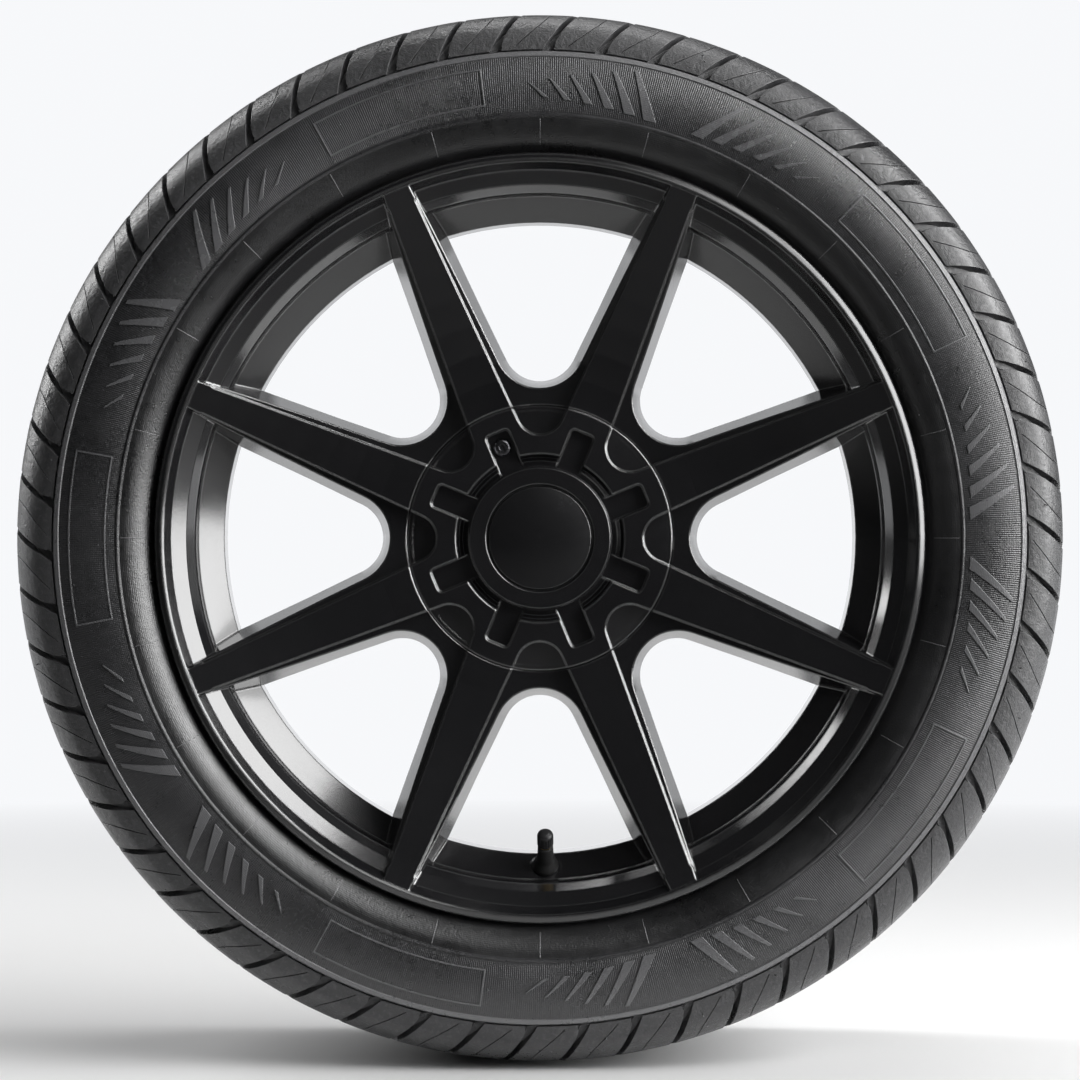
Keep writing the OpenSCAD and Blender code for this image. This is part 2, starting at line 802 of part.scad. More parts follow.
module cap_spring_ring() {
    color("#8d9096")
        wheel_axes()
            translate([0, 0, floor_z - clip_l / 2 - 1])
                rotate([0, 0, 8])
                    rotate_extrude(angle = 344)
                        translate([clip_r - clip_wall - wire_r, 0]) circle(r = wire_r, $fn = 24);
}

// Valve

valve_mid = (slope_top + slope_foot) / 2;
thread_r = valve_thread_d / 2;
tube_top = valve_rubber_l + valve_thread_l;
tube_low = -valve_land - 3;
rubber_hole_r = valve_hole_d / 2;
tube_r = 3.1;
air_r = 1.7;
core_r = 2.6;
core_top = tube_top - 0.5;
core_seat = tube_top - 11;
core_low = core_seat - 5;
spring_solid = 2.9;
pin_head_z = core_top - 1.1;
plug_low = pin_head_z - pin_travel - spring_solid;
pin_r = 0.55;
pin_clear = 0.1;
pin_head_r = 1.15;
plug_bore_r = 1.5;
barrel_or = 1.9;
neck_r = 1.45;
chamber_r = 1.25;
cup_r = 1.75;
cap_clear = 0.1;
cap_seal_t = 1;
cap_top_t = 1.9;
cap_round = 3;

// Frame of the valve: its axis stands square on the slope of the well, rising towards the front
module valve_axes() {
    rotate([0, 0, valve_angle])
        translate([valve_mid[0], 0, valve_mid[1]])
            rotate([0, -well_slope, 0])
                children();
}

module valve_hole() {
    valve_axes() {
        translate([0, 0, -20]) cylinder(d = valve_hole_d, h = 24);
        translate([0, 0, -20 - valve_land]) cylinder(d = valve_head_d + 4, h = 20);
        cylinder(d = valve_bulge_d + 3, h = 6);
    }
}

module valve_rubber() {
    bulge_r_v = valve_bulge_d / 2;
    head_r = valve_head_d / 2;
    color("#141415")
        wheel_axes()
            valve_axes()
                rotate_extrude() polygon([
                    [tube_r, tube_low + 1.5], [head_r - 2.5, tube_low + 1], [head_r - 0.4, -valve_land - 1.6],
                    [head_r, -valve_land - 0.6], [head_r, -valve_land], [rubber_hole_r, -valve_land],
                    [rubber_hole_r, 0], [bulge_r_v - 0.5, 0], [bulge_r_v, 0.8], [bulge_r_v - 0.1, 2.4],
                    [bulge_r_v - 1, 4.4], [bulge_r_v - 2.2, 7], [thread_r + 1.2, 12],
                    [thread_r + 0.9, valve_rubber_l - 1.2], [thread_r + 0.3, valve_rubber_l],
                    [thread_r, valve_rubber_l], [tube_r, valve_rubber_l - 0.8]
                ]);
}

module valve_tube() {
    color("#b08d45")
        wheel_axes()
            valve_axes()
                rotate_extrude() polygon([
                    [air_r, tube_low], [tube_r, tube_low], [tube_r, valve_rubber_l - 0.8],
                    [thread_r, valve_rubber_l], [thread_r, tube_top - 0.5], [thread_r - 0.5, tube_top],
                    [core_r, tube_top], [core_r, core_seat + 1], [core_r - 0.6, core_seat],
                    [core_r - 0.6, core_low - 4.4], [air_r, core_low - 5.4]
                ]);
}

module core_plug() {
    color("#c9a95c")
        wheel_axes()
            valve_axes()
                difference() {
                    translate([0, 0, plug_low]) cylinder(r = core_r - 0.05, h = core_top - plug_low);
                    translate([0, 0, plug_low - 1]) cylinder(r = plug_bore_r, h = core_top - plug_low + 2);
                    for (s = [-1, 1])
                        translate([s * (core_r + 0.6) - 1.5, -far, core_top - 2.4]) cube([3, 2 * far, 4]);
                }
}

module core_barrel() {
    color("#c0a050")
        wheel_axes()
            valve_axes()
                rotate_extrude() polygon([
                    [pin_r + pin_clear, plug_low], [barrel_or, plug_low], [barrel_or, core_seat + 1.6],
                    [neck_r, core_seat + 1.4], [neck_r, core_seat - 1], [neck_r + 0.2, core_seat - 1.2],
                    [neck_r + 0.2, core_low], [chamber_r, core_low], [chamber_r, plug_low - 0.8],
                    [pin_r + pin_clear, plug_low - 0.8]
                ]);
}

module core_gasket() {
    color("#b9382c")
        wheel_axes()
            valve_axes()
                rotate_extrude() polygon([
                    [neck_r, core_seat - 0.3], [core_r - 0.6, core_seat - 0.3], [core_r - 0.6, core_seat],
                    [core_r, core_seat + 1], [core_r - 0.2, core_seat + 1.4], [neck_r, core_seat + 1.4]
                ]);
}

module core_pin() {
    color("#d0b063")
        wheel_axes()
            valve_axes() {
                translate([0, 0, core_low - 3]) cylinder(r = pin_r, h = pin_head_z - core_low + 3.5);
                translate([0, 0, pin_head_z]) cylinder(r = pin_head_r, h = 0.8);
            }
}

module core_cup() {
    color("#c0a050")
        wheel_axes()
            valve_axes()
                rotate_extrude() polygon([
                    [pin_r, core_low - 2.6], [cup_r, core_low - 2.6], [cup_r, core_low - 0.3],
                    [cup_r - 0.2, core_low - 0.3], [cup_r - 0.2, core_low - 1.2], [pin_r, core_low - 1.2]
                ]);
}

module core_cup_seal() {
    color("#171717")
        wheel_axes()
            valve_axes()
                rotate_extrude() polygon([
                    [pin_r, core_low - 1.2], [cup_r - 0.2, core_low - 1.2], [cup_r - 0.2, core_low],
                    [pin_r, core_low]
                ]);
}

module core_spring() {
    color("#9a9da2")
        wheel_axes()
            valve_axes()
                difference() {
                    translate([0, 0, plug_low]) cylinder(r = pin_head_r, h = pin_head_z - plug_low);
                    translate([0, 0, plug_low - 1]) cylinder(r = pin_head_r - 0.35, h = core_top - plug_low);
                }
}

module dust_cap() {
    low = tube_top - dust_cap_grip;
    roof = tube_top + cap_seal_t;
    top = roof + cap_top_t;
    r = dust_cap_d / 2;
    bore = thread_r + cap_clear;
    color("#141416")
        wheel_axes()
            valve_axes()
                difference() {
                    rotate_extrude() polygon(concat(
                        [[bore, low], [r - 0.5, low], [r, low + 0.5]],
                        [for (a = [0:22.5:67.5]) [r * cos(a), top - cap_round + cap_round * sin(a)]],
                        [[0, top], [0, roof], [bore, roof]]
                    ));
                    for (i = [0:17])
                        rotate([0, 0, i * 20])
                            translate([r + 0.25, 0, low + 1.2]) cylinder(r = 0.5, h = roof - low - 2.4);
                }
}

module dust_cap_seal() {
    color("#3a1f1c")
        wheel_axes()
            valve_axes()
                difference() {
                    translate([0, 0, tube_top]) cylinder(r = thread_r, h = cap_seal_t);
                    translate([0, 0, tube_top - 1]) cylinder(r = pin_head_r + 0.25, h = cap_seal_t + 2);
                }
}

tyre();
alloy_wheel();
centre_cover();
cover_screw();
cap_body();
cap_dome();
cap_spring_ring();
valve_rubber();
valve_tube();
core_plug();
core_barrel();
core_gasket();
core_pin();
core_cup();
core_cup_seal();
core_spring();
dust_cap();
dust_cap_seal();
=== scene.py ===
import json
import math
import random

import bmesh
import bpy
from bpy.props import FloatProperty, FloatVectorProperty, IntProperty, PointerProperty
from mathutils import Matrix, Vector


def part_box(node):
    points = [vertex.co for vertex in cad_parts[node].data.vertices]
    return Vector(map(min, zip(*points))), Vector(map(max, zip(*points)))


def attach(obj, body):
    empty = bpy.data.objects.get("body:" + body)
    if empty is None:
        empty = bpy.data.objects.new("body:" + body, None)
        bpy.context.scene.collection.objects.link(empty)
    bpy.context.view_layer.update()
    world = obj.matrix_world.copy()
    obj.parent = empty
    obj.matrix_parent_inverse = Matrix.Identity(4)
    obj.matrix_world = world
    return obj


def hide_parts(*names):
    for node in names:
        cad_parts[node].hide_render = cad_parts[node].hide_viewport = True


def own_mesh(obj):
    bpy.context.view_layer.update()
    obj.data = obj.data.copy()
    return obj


bl_info = {
    "name": "Car Wheel and Tyre",
    "version": (1, 0, 0),
    "blender": (4, 5, 0),
    "location": "View3D > Sidebar > Wheel",
    "description": "Low-profile tyre on a dark alloy wheel, with its finishes, floor, lights and camera",
    "category": "Add Mesh",
}

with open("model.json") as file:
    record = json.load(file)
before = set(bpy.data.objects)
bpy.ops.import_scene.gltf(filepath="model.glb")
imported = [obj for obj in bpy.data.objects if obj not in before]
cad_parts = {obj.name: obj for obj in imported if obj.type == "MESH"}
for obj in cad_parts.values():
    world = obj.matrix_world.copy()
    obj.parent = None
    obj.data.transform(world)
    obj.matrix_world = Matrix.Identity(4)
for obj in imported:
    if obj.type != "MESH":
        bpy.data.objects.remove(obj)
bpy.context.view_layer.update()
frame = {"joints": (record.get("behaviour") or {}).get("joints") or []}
MM = 0.001
SPIN_AXIS = (0.0, 1.0, 0.0)

# Distances in metres at which points are welded: within a line or coil, and between pitches of the tyre
FINE_WELD = 1e-6
PITCH_WELD = 2e-5

# Angles up to which faces are shaded smooth
TYRE_SMOOTH = math.radians(32)
RELIEF_SMOOTH = math.radians(25)
COIL_SMOOTH = math.radians(50)

# Tyre section in millimetres: radius from the spin axis, and distance in front of the middle plane
TYRE_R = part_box("tyre")[1].x / MM
CROWN_DROP = 3.5
CROWN_POWER = 2.4
TREAD_EDGE = 85.0
EDGE_R = TYRE_R - CROWN_DROP
SHOULDER_DROP = 25.0
SHOULDER_R = EDGE_R - SHOULDER_DROP
GROOVE_DEPTH = 7.5
BEAD_TOE = (217.25, 83.1)
BEAD_SEAT_R = 218.3
BEAD_HALF_W = 101.6
BEAD_HEEL = 6.5
FLANGE_CURL = 9.5
FLANGE_CURL_AT = (226.3, 111.1)
FLANGE_TOP = (238.155, 110.06)
BAND_BULGE = 2.4
BAND_FULLNESS = 0.8

# Channels round the tread: middles, half width of the floor, and the rows of the ribs between them
OUTER_CHANNEL = 61.0
INNER_CHANNEL = 26.0
CHANNEL_HALF_W = 4.3
OUTER_RIB_ROWS = (79.0, 72.5, 66.5)
MIDDLE_RIB_ROWS = (55.5, 49.5, 43.0, 37.0, 31.5)
CENTRE_RIB_ROWS = (20.5, 14.0, 7.0)

# Sidewall: its widest place, and the curve from there
WIDEST = 121.5
WIDEST_R = 272.0
WALL_CURVE = 136.0

# Ribs round the sidewall
LOWER_RIB_R = 257.5
LOWER_RIB_W = 2.4
LOWER_RIB_H = 0.9
UPPER_RIB_R = SHOULDER_R - 2.6
UPPER_RIB_W = 3.8
UPPER_RIB_H = 0.8
RIB_CHAMFER = 0.7
LOWER_RIB_FOOT = LOWER_RIB_R - LOWER_RIB_W / 2

# Spring of the valve's core: wire and gap under the pin's head in millimetres, its turns and its facets
COIL_WIRE = 0.34
COIL_GAP = 0.02
COIL_TURNS = 5
COIL_SIDES = 8
COIL_STEPS = 20


def crown(z):
    """Radius of the tread at distance z from the middle plane."""
    return TYRE_R - CROWN_DROP * (abs(z) / TREAD_EDGE) ** CROWN_POWER


def side(r):
    """Distance of the sidewall from the middle plane at radius r."""
    return WIDEST - (r - WIDEST_R) ** 2 / WALL_CURVE


def bead_band(r, bulge):
    """Distance of the band between the rim's flange and the lower rib, which bulges out, at radius r."""
    flange_r, flange_z = FLANGE_TOP
    share = (r - flange_r) / (LOWER_RIB_FOOT - flange_r)
    straight = flange_z + (side(LOWER_RIB_FOOT) - flange_z) * share
    return straight + bulge * math.sin(math.pi * share) ** BAND_FULLNESS


def shoulder_arc(degrees, depth=0.0, inset=0.0):
    """Radius and distance of the round shoulder, 0 degrees at the tread and 90 at the wall, or below it."""
    turn = math.radians(degrees)
    r = EDGE_R - depth - (SHOULDER_DROP - depth) * (1 - math.cos(turn))
    return r, TREAD_EDGE + (SHOULDER_Z - inset - TREAD_EDGE) * math.sin(turn)


SHOULDER_Z = side(SHOULDER_R)


# Selection and editing


def deselect():
    if bpy.context.object and bpy.context.object.mode != "OBJECT":
        bpy.ops.object.mode_set(mode="OBJECT")
    bpy.ops.object.select_all(action="DESELECT")


def activate(obj):
    deselect()
    obj.select_set(True)
    bpy.context.view_layer.objects.active = obj


def begin_edit(obj, mode="VERT"):
    activate(obj)
    bpy.ops.object.mode_set(mode="EDIT")
    bpy.ops.mesh.select_mode(type=mode)


def end_edit():
    bpy.ops.object.mode_set(mode="OBJECT")


def mesh_in_edit():
    mesh = bpy.context.object.data
    bm = bmesh.from_edit_mesh(mesh)
    return mesh, bm


def select_all():
    bpy.ops.mesh.select_all(action="SELECT")


def weld(threshold):
    select_all()
    bpy.ops.mesh.remove_doubles(threshold=threshold)


def face_outwards():
    select_all()
    bpy.ops.mesh.normals_make_consistent(inside=False)


def repeat_round(obj, count):
    """Copies a piece round the spin axis until there are count of it."""
    begin_edit(obj, "FACE")
    select_all()
    bpy.ops.mesh.spin(
        steps=count - 1, dupli=True, angle=2 * math.pi * (count - 1) / count, center=(0, 0, 0),
        axis=SPIN_AXIS,
    )
    end_edit()


def select_faces(test):
    """In edit mode, selects only the faces that pass the test."""
    bpy.ops.mesh.select_mode(type="FACE")
    bpy.ops.mesh.select_all(action="DESELECT")
    mesh, bm = mesh_in_edit()
    for f in bm.faces:
        if test(f):
            f.select_set(True)
    bmesh.update_edit_mesh(mesh)


def settle(obj):
    """Puts the object's place into its mesh."""
    activate(obj)
    bpy.ops.object.transform_apply(location=True, rotation=True, scale=True)


def name_piece(obj, name, body, slot, *nodes):
    obj.name = name
    obj.data.name = name
    if nodes:
        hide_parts(*nodes)
    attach(obj, body)
    return obj


def draw_line(points):
    """One vertex, extruded along the points, leaves an open line in edit mode."""
    deselect()
    bpy.ops.mesh.primitive_plane_add(size=0.01, location=(0.0, 0.0, 0.0))
    obj = bpy.context.object
    begin_edit(obj)
    select_all()
    bpy.ops.mesh.merge(type="CENTER")
    bpy.ops.transform.translate(value=points[0])
    for a, b in zip(points, points[1:]):
        bpy.ops.mesh.extrude_region_move(TRANSFORM_OT_translate={"value": b - a})
    return obj


def at(r, z, turn=0.0):
    """World place of a point in millimetres from the spin axis, in front of the middle plane, and turned."""
    return Vector((r * math.cos(turn), -z, r * math.sin(turn))) * MM


# Tyre with its tread

# Where the section has its rows: on the band and the wall as shares of the way, on the shoulder in degrees
BAND_ROWS = (0.12, 0.3, 0.5, 0.7, 0.85)
WALL_ROWS = (0.04, 0.14, 0.26, 0.38, 0.5, 0.62, 0.74, 0.86, 0.96)
SHOULDER_ROWS = (90, 84, 74, 60, 45, 30, 15, 0)

# Step under the shoulder's blocks, in radius and distance, and the rise of the blocks' feet above it
SHOULDER_STEP = (0.3, 1.9)
BLOCK_FOOT_RISE = 0.2


def tyre_rows():
    """Rows of the outer surface from the front bead to the rear: [radius, distance, part, shoulder angle]."""
    rows = [[*BEAD_TOE, "bead", 0]]
    for a in (90, 45, 0):
        s = math.radians(a)
        r = BEAD_SEAT_R + BEAD_HEEL - BEAD_HEEL * math.sin(s)
        rows.append([r, BEAD_HALF_W - BEAD_HEEL + BEAD_HEEL * math.cos(s), "bead", 0])
    for a in (15, 30, 45, 60):
        s = math.radians(a)
        r = FLANGE_CURL_AT[0] + FLANGE_CURL * math.sin(s)
        rows.append([r, FLANGE_CURL_AT[1] - FLANGE_CURL * math.cos(s), "bead", 0])
    rows.append([*FLANGE_TOP, "bead", 0])
    for t in BAND_ROWS:
        r = FLANGE_TOP[0] + (LOWER_RIB_FOOT - FLANGE_TOP[0]) * t
        rows.append([r, bead_band(r, BAND_BULGE), "side", 0])
    rows += rib_rows(LOWER_RIB_R, LOWER_RIB_H, LOWER_RIB_W)
    for t in WALL_ROWS:
        r = LOWER_RIB_R + LOWER_RIB_W / 2 + (UPPER_RIB_R - LOWER_RIB_R - LOWER_RIB_W) * t
        rows.append([r, side(r), "side", 0])
    rows += rib_rows(UPPER_RIB_R, UPPER_RIB_H, UPPER_RIB_W)
    rows.append([SHOULDER_R - SHOULDER_STEP[0], SHOULDER_Z - SHOULDER_STEP[1], "band", 0])
    for a in SHOULDER_ROWS:
        r, z = shoulder_arc(a)
        rows.append([r + (BLOCK_FOOT_RISE if a == 90 else 0), z, "arc", a])
    rows += [[crown(z), z, "block", 0] for z in OUTER_RIB_ROWS]
    rows += channel_rows(OUTER_CHANNEL)
    rows += [[crown(z), z, "mid", 0] for z in MIDDLE_RIB_ROWS]
    rows += channel_rows(INNER_CHANNEL)
    rows += [[crown(z), z, "centre", 0] for z in CENTRE_RIB_ROWS]
    back = [[r, -z, part, a] for r, z, part, a in reversed(rows)]
    return rows + [[TYRE_R, 0.0, "centre", 0]] + back


def rib_rows(r, h, w):
    """Foot, top, top and foot of a rib with sloped flanks on the sidewall."""
    foot, top = w / 2, w / 2 - RIB_CHAMFER
    return [
        [r - foot, side(r - foot), "rib", 0], [r - top, side(r - top) + h, "rib", 0],
        [r + top, side(r + top) + h, "rib", 0], [r + foot, side(r + foot), "rib", 0],
    ]


def channel_rows(z):
    """Floor of a groove that runs round the tyre."""
    floor = crown(z) - GROOVE_DEPTH
    return [[floor, z + CHANNEL_HALF_W, "floor", 0], [floor, z - CHANNEL_HALF_W, "floor", 0]]


def inner_rows():
    """Inner surface from the rear bead to the front one."""
    half = [
        [223.3, 84.1], [238.3, 93.6], [246.3, 101.1], [254.3, 108.7], [270.0, 111.0], [282.0, 109.5],
        [296.0, 102.0], [305.5, 90.0], [309.3, 76.0], [311.5, 40.0],
    ]
    return [[r, -z, "liner", 0] for r, z in half] + [[r, z, "liner", 0] for r, z in reversed(half)]


# Slant of a shoulder groove: how far it moves round the tyre for each millimetre outwards and forwards
GROOVE_SLANT_R = -0.541
GROOVE_SLANT_Z = 0.185
GROOVE_START_R = 310.15

# Radii between which the grooves' slant fades in up the wall
WALL_TURN_FADE = (262.0, 292.0)


def groove_shift(r, z):
    """Turn in radians of a shoulder groove's middle where it passes radius r and distance z, in front."""
    return (GROOVE_SLANT_R * (r - GROOVE_START_R) + GROOVE_SLANT_Z * (z - TREAD_EDGE)) / r


def share_between(value, low, high):
    return min(max((value - low) / (high - low), 0.0), 1.0)


def row_shift(row):
    """Turn of a whole row: it follows the grooves at the shoulder and fades out towards bead and middle."""
    r, z, part, _ = row
    s = 1 if z >= 0 else -1
    z = abs(z)
    if part in ("arc", "block"):
        return s * groove_shift(r, z)
    if part in ("bead", "liner"):
        return 0.0
    if part in ("band", "side", "rib"):
        fade = 1.0 if part == "band" else share_between(r, *WALL_TURN_FADE)
        return s * groove_shift(SHOULDER_R, SHOULDER_Z) * fade
    rib_edge = OUTER_RIB_ROWS[-1]
    fade = 1.0 if part == "floor" and z > OUTER_CHANNEL else share_between(z, 0.0, OUTER_CHANNEL)
    return s * groove_shift(crown(rib_edge), rib_edge) * fade


# Lines across one pitch, in degrees: a groove lies between the first two, a sipe between SIPE_LINES
LINES = [-0.39, 0.39, 1.55, 2.80, 2.93, 4.45, 5.42]
SIPE_LINES = (3, 4)
SIPE_COLUMN = SIPE_LINES[0]
FACET_LINE = 5
GROOVE_CORNER = {90: 0.62, 84: 0.3, 74: 0.06}
SIPE_BEND, SIPE_BEND_FROM, SIPE_BEND_POWER = 1.25, 40, 1.3
SIPE_BOW = 0.35
FACET_BEND, FACET_BEND_FROM = 0.6, 50
NOTCH_SPREAD = 0.16
NOTCH_FROM, NOTCH_TO = 42, 60
NOTCH_MEETS = 50
NOTCH_STARTS = 40


def line_turn(column, row):
    """Turn in radians of a line across the tread where it crosses a row."""
    turn = math.radians(LINES[column] if column < len(LINES) else LINES[0]) + row_shift(row)
    if column == len(LINES):
        turn += 2 * math.pi / bpy.context.scene.tyre_look.pitches
    s = 1 if row[1] >= 0 else -1
    part, a = row[2], row[3]
    if part == "arc":
        # the groove flares at its open end, and the sipe bends there
        if column in ((0, len(LINES)) if s > 0 else (1,)):
            turn -= s * math.radians(GROOVE_CORNER.get(a, 0.0))
        if column in SIPE_LINES:
            bend = SIPE_BEND * max(0.0, (a - SIPE_BEND_FROM) / (90 - SIPE_BEND_FROM)) ** SIPE_BEND_POWER
            bow = SIPE_BOW * math.sin(math.radians(min(a * 2, 180)))
            turn += s * math.radians(bend - bow)
        if column == FACET_LINE:
            turn += s * math.radians(FACET_BEND * max(0.0, (a - FACET_BEND_FROM) / (90 - FACET_BEND_FROM)))
    if part in ("mid", "floor") and column in SIPE_LINES and NOTCH_FROM < abs(row[1]) < NOTCH_TO:
        turn += math.radians(-NOTCH_SPREAD if column == SIPE_COLUMN else NOTCH_SPREAD)
    return turn


NOTCH_DEPTH = GROOVE_DEPTH * 0.8
SIPE_DEPTH = 3.0
SIPE_ENDS = 70
GROOVE_INSET = 2.6


def groove_floor(row):
    """Place of a shoulder groove's floor under a row of the block's top."""
    r, z, part, a = row
    if part == "block":
        return r - GROOVE_DEPTH, z
    low_r, low_z = shoulder_arc(a, GROOVE_DEPTH, GROOVE_INSET)
    return low_r, math.copysign(low_z, z)


def open_end(rows, i):
    """Row on which a groove's floor ends, where row i is the groove's open end, or None."""
    part, a = rows[i][2], rows[i][3]
    for k in (i - 1, i + 1):
        if 0 <= k < len(rows):
            near = rows[k][2]
            if (part == "arc" and a == 90 and near == "band") or (part == "block" and near == "floor"):
                return k
            if part == "mid" and near == "floor" and abs(rows[k][1]) > NOTCH_MEETS:
                return k
    return None


def build_pitch(rows):
    """One pitch of the tyre: a strip spun from the section, its grooves and sipes pressed in."""
    columns = len(LINES)
    pitch = 2 * math.pi / bpy.context.scene.tyre_look.pitches
    obj = draw_line([at(r, z) for r, z, _, _ in rows] + [at(rows[0][0], rows[0][1])])
    weld(FINE_WELD)
    select_all()
    bpy.ops.mesh.spin(steps=columns, angle=pitch, center=(0, 0, 0), axis=SPIN_AXIS)
    mesh, bm = mesh_in_edit()
    row_layer = bm.verts.layers.int.new("row")
    col_layer = bm.verts.layers.int.new("col")
    for v in bm.verts:
        r, z = math.hypot(v.co.x, v.co.z) / MM, -v.co.y / MM
        i = min(range(len(rows)), key=lambda k: (rows[k][0] - r) ** 2 + (rows[k][1] - z) ** 2)
        c = round(math.atan2(v.co.z, v.co.x) / (pitch / columns))
        v[row_layer], v[col_layer] = i, c
        v.co = at(rows[i][0], rows[i][1], line_turn(c, rows[i]))
    bmesh.update_edit_mesh(mesh)

    def select_cells(test):
        """Selects the faces between two neighbouring rows whose rows and column pass the test."""

        def passes(f):
            lines = [v[row_layer] for v in f.verts]
            low, high = min(lines), max(lines)
            return high - low == 1 and test(rows[low], rows[high], min(v[col_layer] for v in f.verts))

        select_faces(passes)

    # the foot of the blocks and the walls of the channels are opened where a groove meets them
    def open_face(a, b, column):
        pair = {a[2], b[2]}
        if column == 0 and pair in ({"band", "arc"}, {"block", "floor"}):
            return True
        return column == SIPE_COLUMN and pair == {"floor", "mid"} and min(abs(a[1]), abs(b[1])) > NOTCH_MEETS

    select_cells(open_face)
    bpy.ops.mesh.delete(type="ONLY_FACE")

    def groove_face(a, b, column):
        return column == 0 and {a[2], b[2]} <= {"arc", "block"}

    def sipe_face(a, b, column):
        if column != SIPE_COLUMN or not {a[2], b[2]} <= {"arc", "block"}:
            return False
        return all(row[3] != 90 and not (row[2] == "block" and abs(row[1]) < SIPE_ENDS) for row in (a, b))

    def notch_face(a, b, column):
        return column == SIPE_COLUMN and a[2] == b[2] == "mid" and min(abs(a[1]), abs(b[1])) > NOTCH_STARTS

    for test, kind in ((groove_face, "groove"), (sipe_face, "sipe"), (notch_face, "notch")):
        select_cells(test)
        bpy.ops.mesh.extrude_region_move()
        mesh, bm = mesh_in_edit()
        row_layer = bm.verts.layers.int["row"]
        col_layer = bm.verts.layers.int["col"]
        for v in [v for v in bm.verts if v.select]:
            i = v[row_layer]
            row = rows[i]
            turn = math.atan2(v.co.z, v.co.x)
            end = open_end(rows, i) if kind != "sipe" else None
            if end is not None:
                r, z, turn = rows[end][0], rows[end][1], line_turn(v[col_layer], rows[end])
            elif kind == "groove":
                r, z = groove_floor(row)
            elif kind == "notch":
                r, z = row[0] - NOTCH_DEPTH, row[1]
            else:
                t = math.radians(row[3])
                r = row[0] - SIPE_DEPTH * math.cos(t)
                z = row[1] - math.copysign(SIPE_DEPTH * math.sin(t), row[1])
            v.co = at(r, z, turn)
        bmesh.update_edit_mesh(mesh)
        if kind == "sipe":
            continue

        # the wall that closes a groove's open end goes, and the floor's end is welded to what lies below
        def end_wall(f):
            here = {v[row_layer] for v in f.verts}
            return len(here) == 1 and open_end(rows, here.pop()) is not None

        select_faces(end_wall)
        bpy.ops.mesh.delete(type="ONLY_FACE")
        select_all()
        bpy.ops.mesh.delete_loose(use_verts=True, use_edges=True, use_faces=False)
    weld(PITCH_WELD)
    end_edit()
    return obj


class TyreLook(bpy.types.PropertyGroup):
    pitches: IntProperty(name="Pitches", description="Tread blocks in one turn", default=58, min=40, max=80)
    rubber: FloatVectorProperty(
        name="Rubber", description="Colour of the rubber", subtype="COLOR", size=3, min=0.0, max=1.0,
        default=(0.015, 0.015, 0.016),
    )
    # The rib at the shoulder takes this colour as a painted highlight
    relief_tone_and_rib_highlight: FloatVectorProperty(
        name="Relief tone", description="Colour of the raised bars and of the rib at the shoulder",
        subtype="COLOR", size=3, min=0.0, max=1.0, default=(0.15, 0.15, 0.155),
    )
    relief: FloatProperty(
        name="Relief", description="Height of the bars on the sidewall", unit="LENGTH",
        default=0.0008, min=0.0, max=0.003,
    )
    hair: FloatProperty(
        name="Vent hair", description="Length of the longest vent hairs", unit="LENGTH",
        default=0.004, min=0.0, max=0.01,
    )


class WheelLook(bpy.types.PropertyGroup):
    paint: FloatVectorProperty(
        name="Paint", description="Colour of the wheel's satin paint", subtype="COLOR", size=3,
        min=0.0, max=1.0, default=(0.0070, 0.0070, 0.0077),
    )
    plastic: FloatVectorProperty(
        name="Plastic", description="Colour of the cover and cap", subtype="COLOR", size=3,
        min=0.0, max=1.0, default=(0.0075, 0.0075, 0.0082),
    )
    edge: FloatProperty(
        name="Edge", description="Radius by which the paint softens each edge", unit="LENGTH",
        default=0.0018, min=0.0, max=0.004,
    )


class StageLook(bpy.types.PropertyGroup):
    floor: FloatVectorProperty(
        name="Floor", description="Colour of the floor", subtype="COLOR", size=3, min=0.0, max=1.0,
        default=(0.82, 0.82, 0.82),
    )
    lamps: FloatProperty(name="Lamps", description="Strength of the lamps", default=1.0, min=0.0, max=4.0)
    room: FloatProperty(
        name="Room", description="Light that comes from the dim side of the studio",
        default=0.035, min=0.0, max=1.0,
    )
    haze: FloatProperty(
        name="Haze", description="Light that comes from the sides behind the wheel",
        default=0.12, min=0.0, max=1.0,
    )
    distance: FloatProperty(
        name="Camera distance", description="Distance of the camera from the wheel's centre",
        unit="LENGTH", default=2.5, min=1.0, max=6.0,
    )


class WHEEL_OT_tyre(bpy.types.Operator):
    """Tyre with its channels, shoulder grooves, sipes and sidewall ribs"""

    bl_idname = "wheel.tyre"
    bl_label = "Tyre"

    def execute(self, context):
        obj = build_pitch(tyre_rows() + inner_rows())
        repeat_round(obj, context.scene.tyre_look.pitches)
        begin_edit(obj)
        weld(PITCH_WELD)
        face_outwards()
        end_edit()
        bpy.ops.object.shade_smooth_by_angle(angle=TYRE_SMOOTH)
        settle(obj)
        name_piece(obj, "tyre_body", "wheel", "tyre_rubber", "tyre")
        return {"FINISHED"}


# Shader nodes


def join(tree, value, socket):
    """Links a socket, or sets a plain value."""
    if isinstance(value, bpy.types.NodeSocket):
        tree.links.new(value, socket)
    elif value is not None:
        socket.default_value = value


def shade(tree, kind, *values, **settings):
    """Adds a node; values go to its inputs in order, settings are its own properties."""
    made = tree.nodes.new("ShaderNode" + kind)
    for key, value in settings.items():
        setattr(made, key, value)
    sockets = [i for i in made.inputs if i.enabled]
    for value, socket in zip(values, sockets):
        join(tree, value, socket)
    return made


def calc(tree, operation, a, b=None, c=None):
    return shade(tree, "Math", a, b, c, operation=operation).outputs[0]


def times(tree, a, b):
    return calc(tree, "MULTIPLY", a, b)


def plus(tree, a, b):
    return calc(tree, "ADD", a, b)


def minus(tree, a, b):
    return calc(tree, "SUBTRACT", a, b)


def ramp(tree, value, from_low, from_high, to_low=0.0, to_high=1.0):
    return shade(tree, "MapRange", value, from_low, from_high, to_low, to_high).outputs[0]


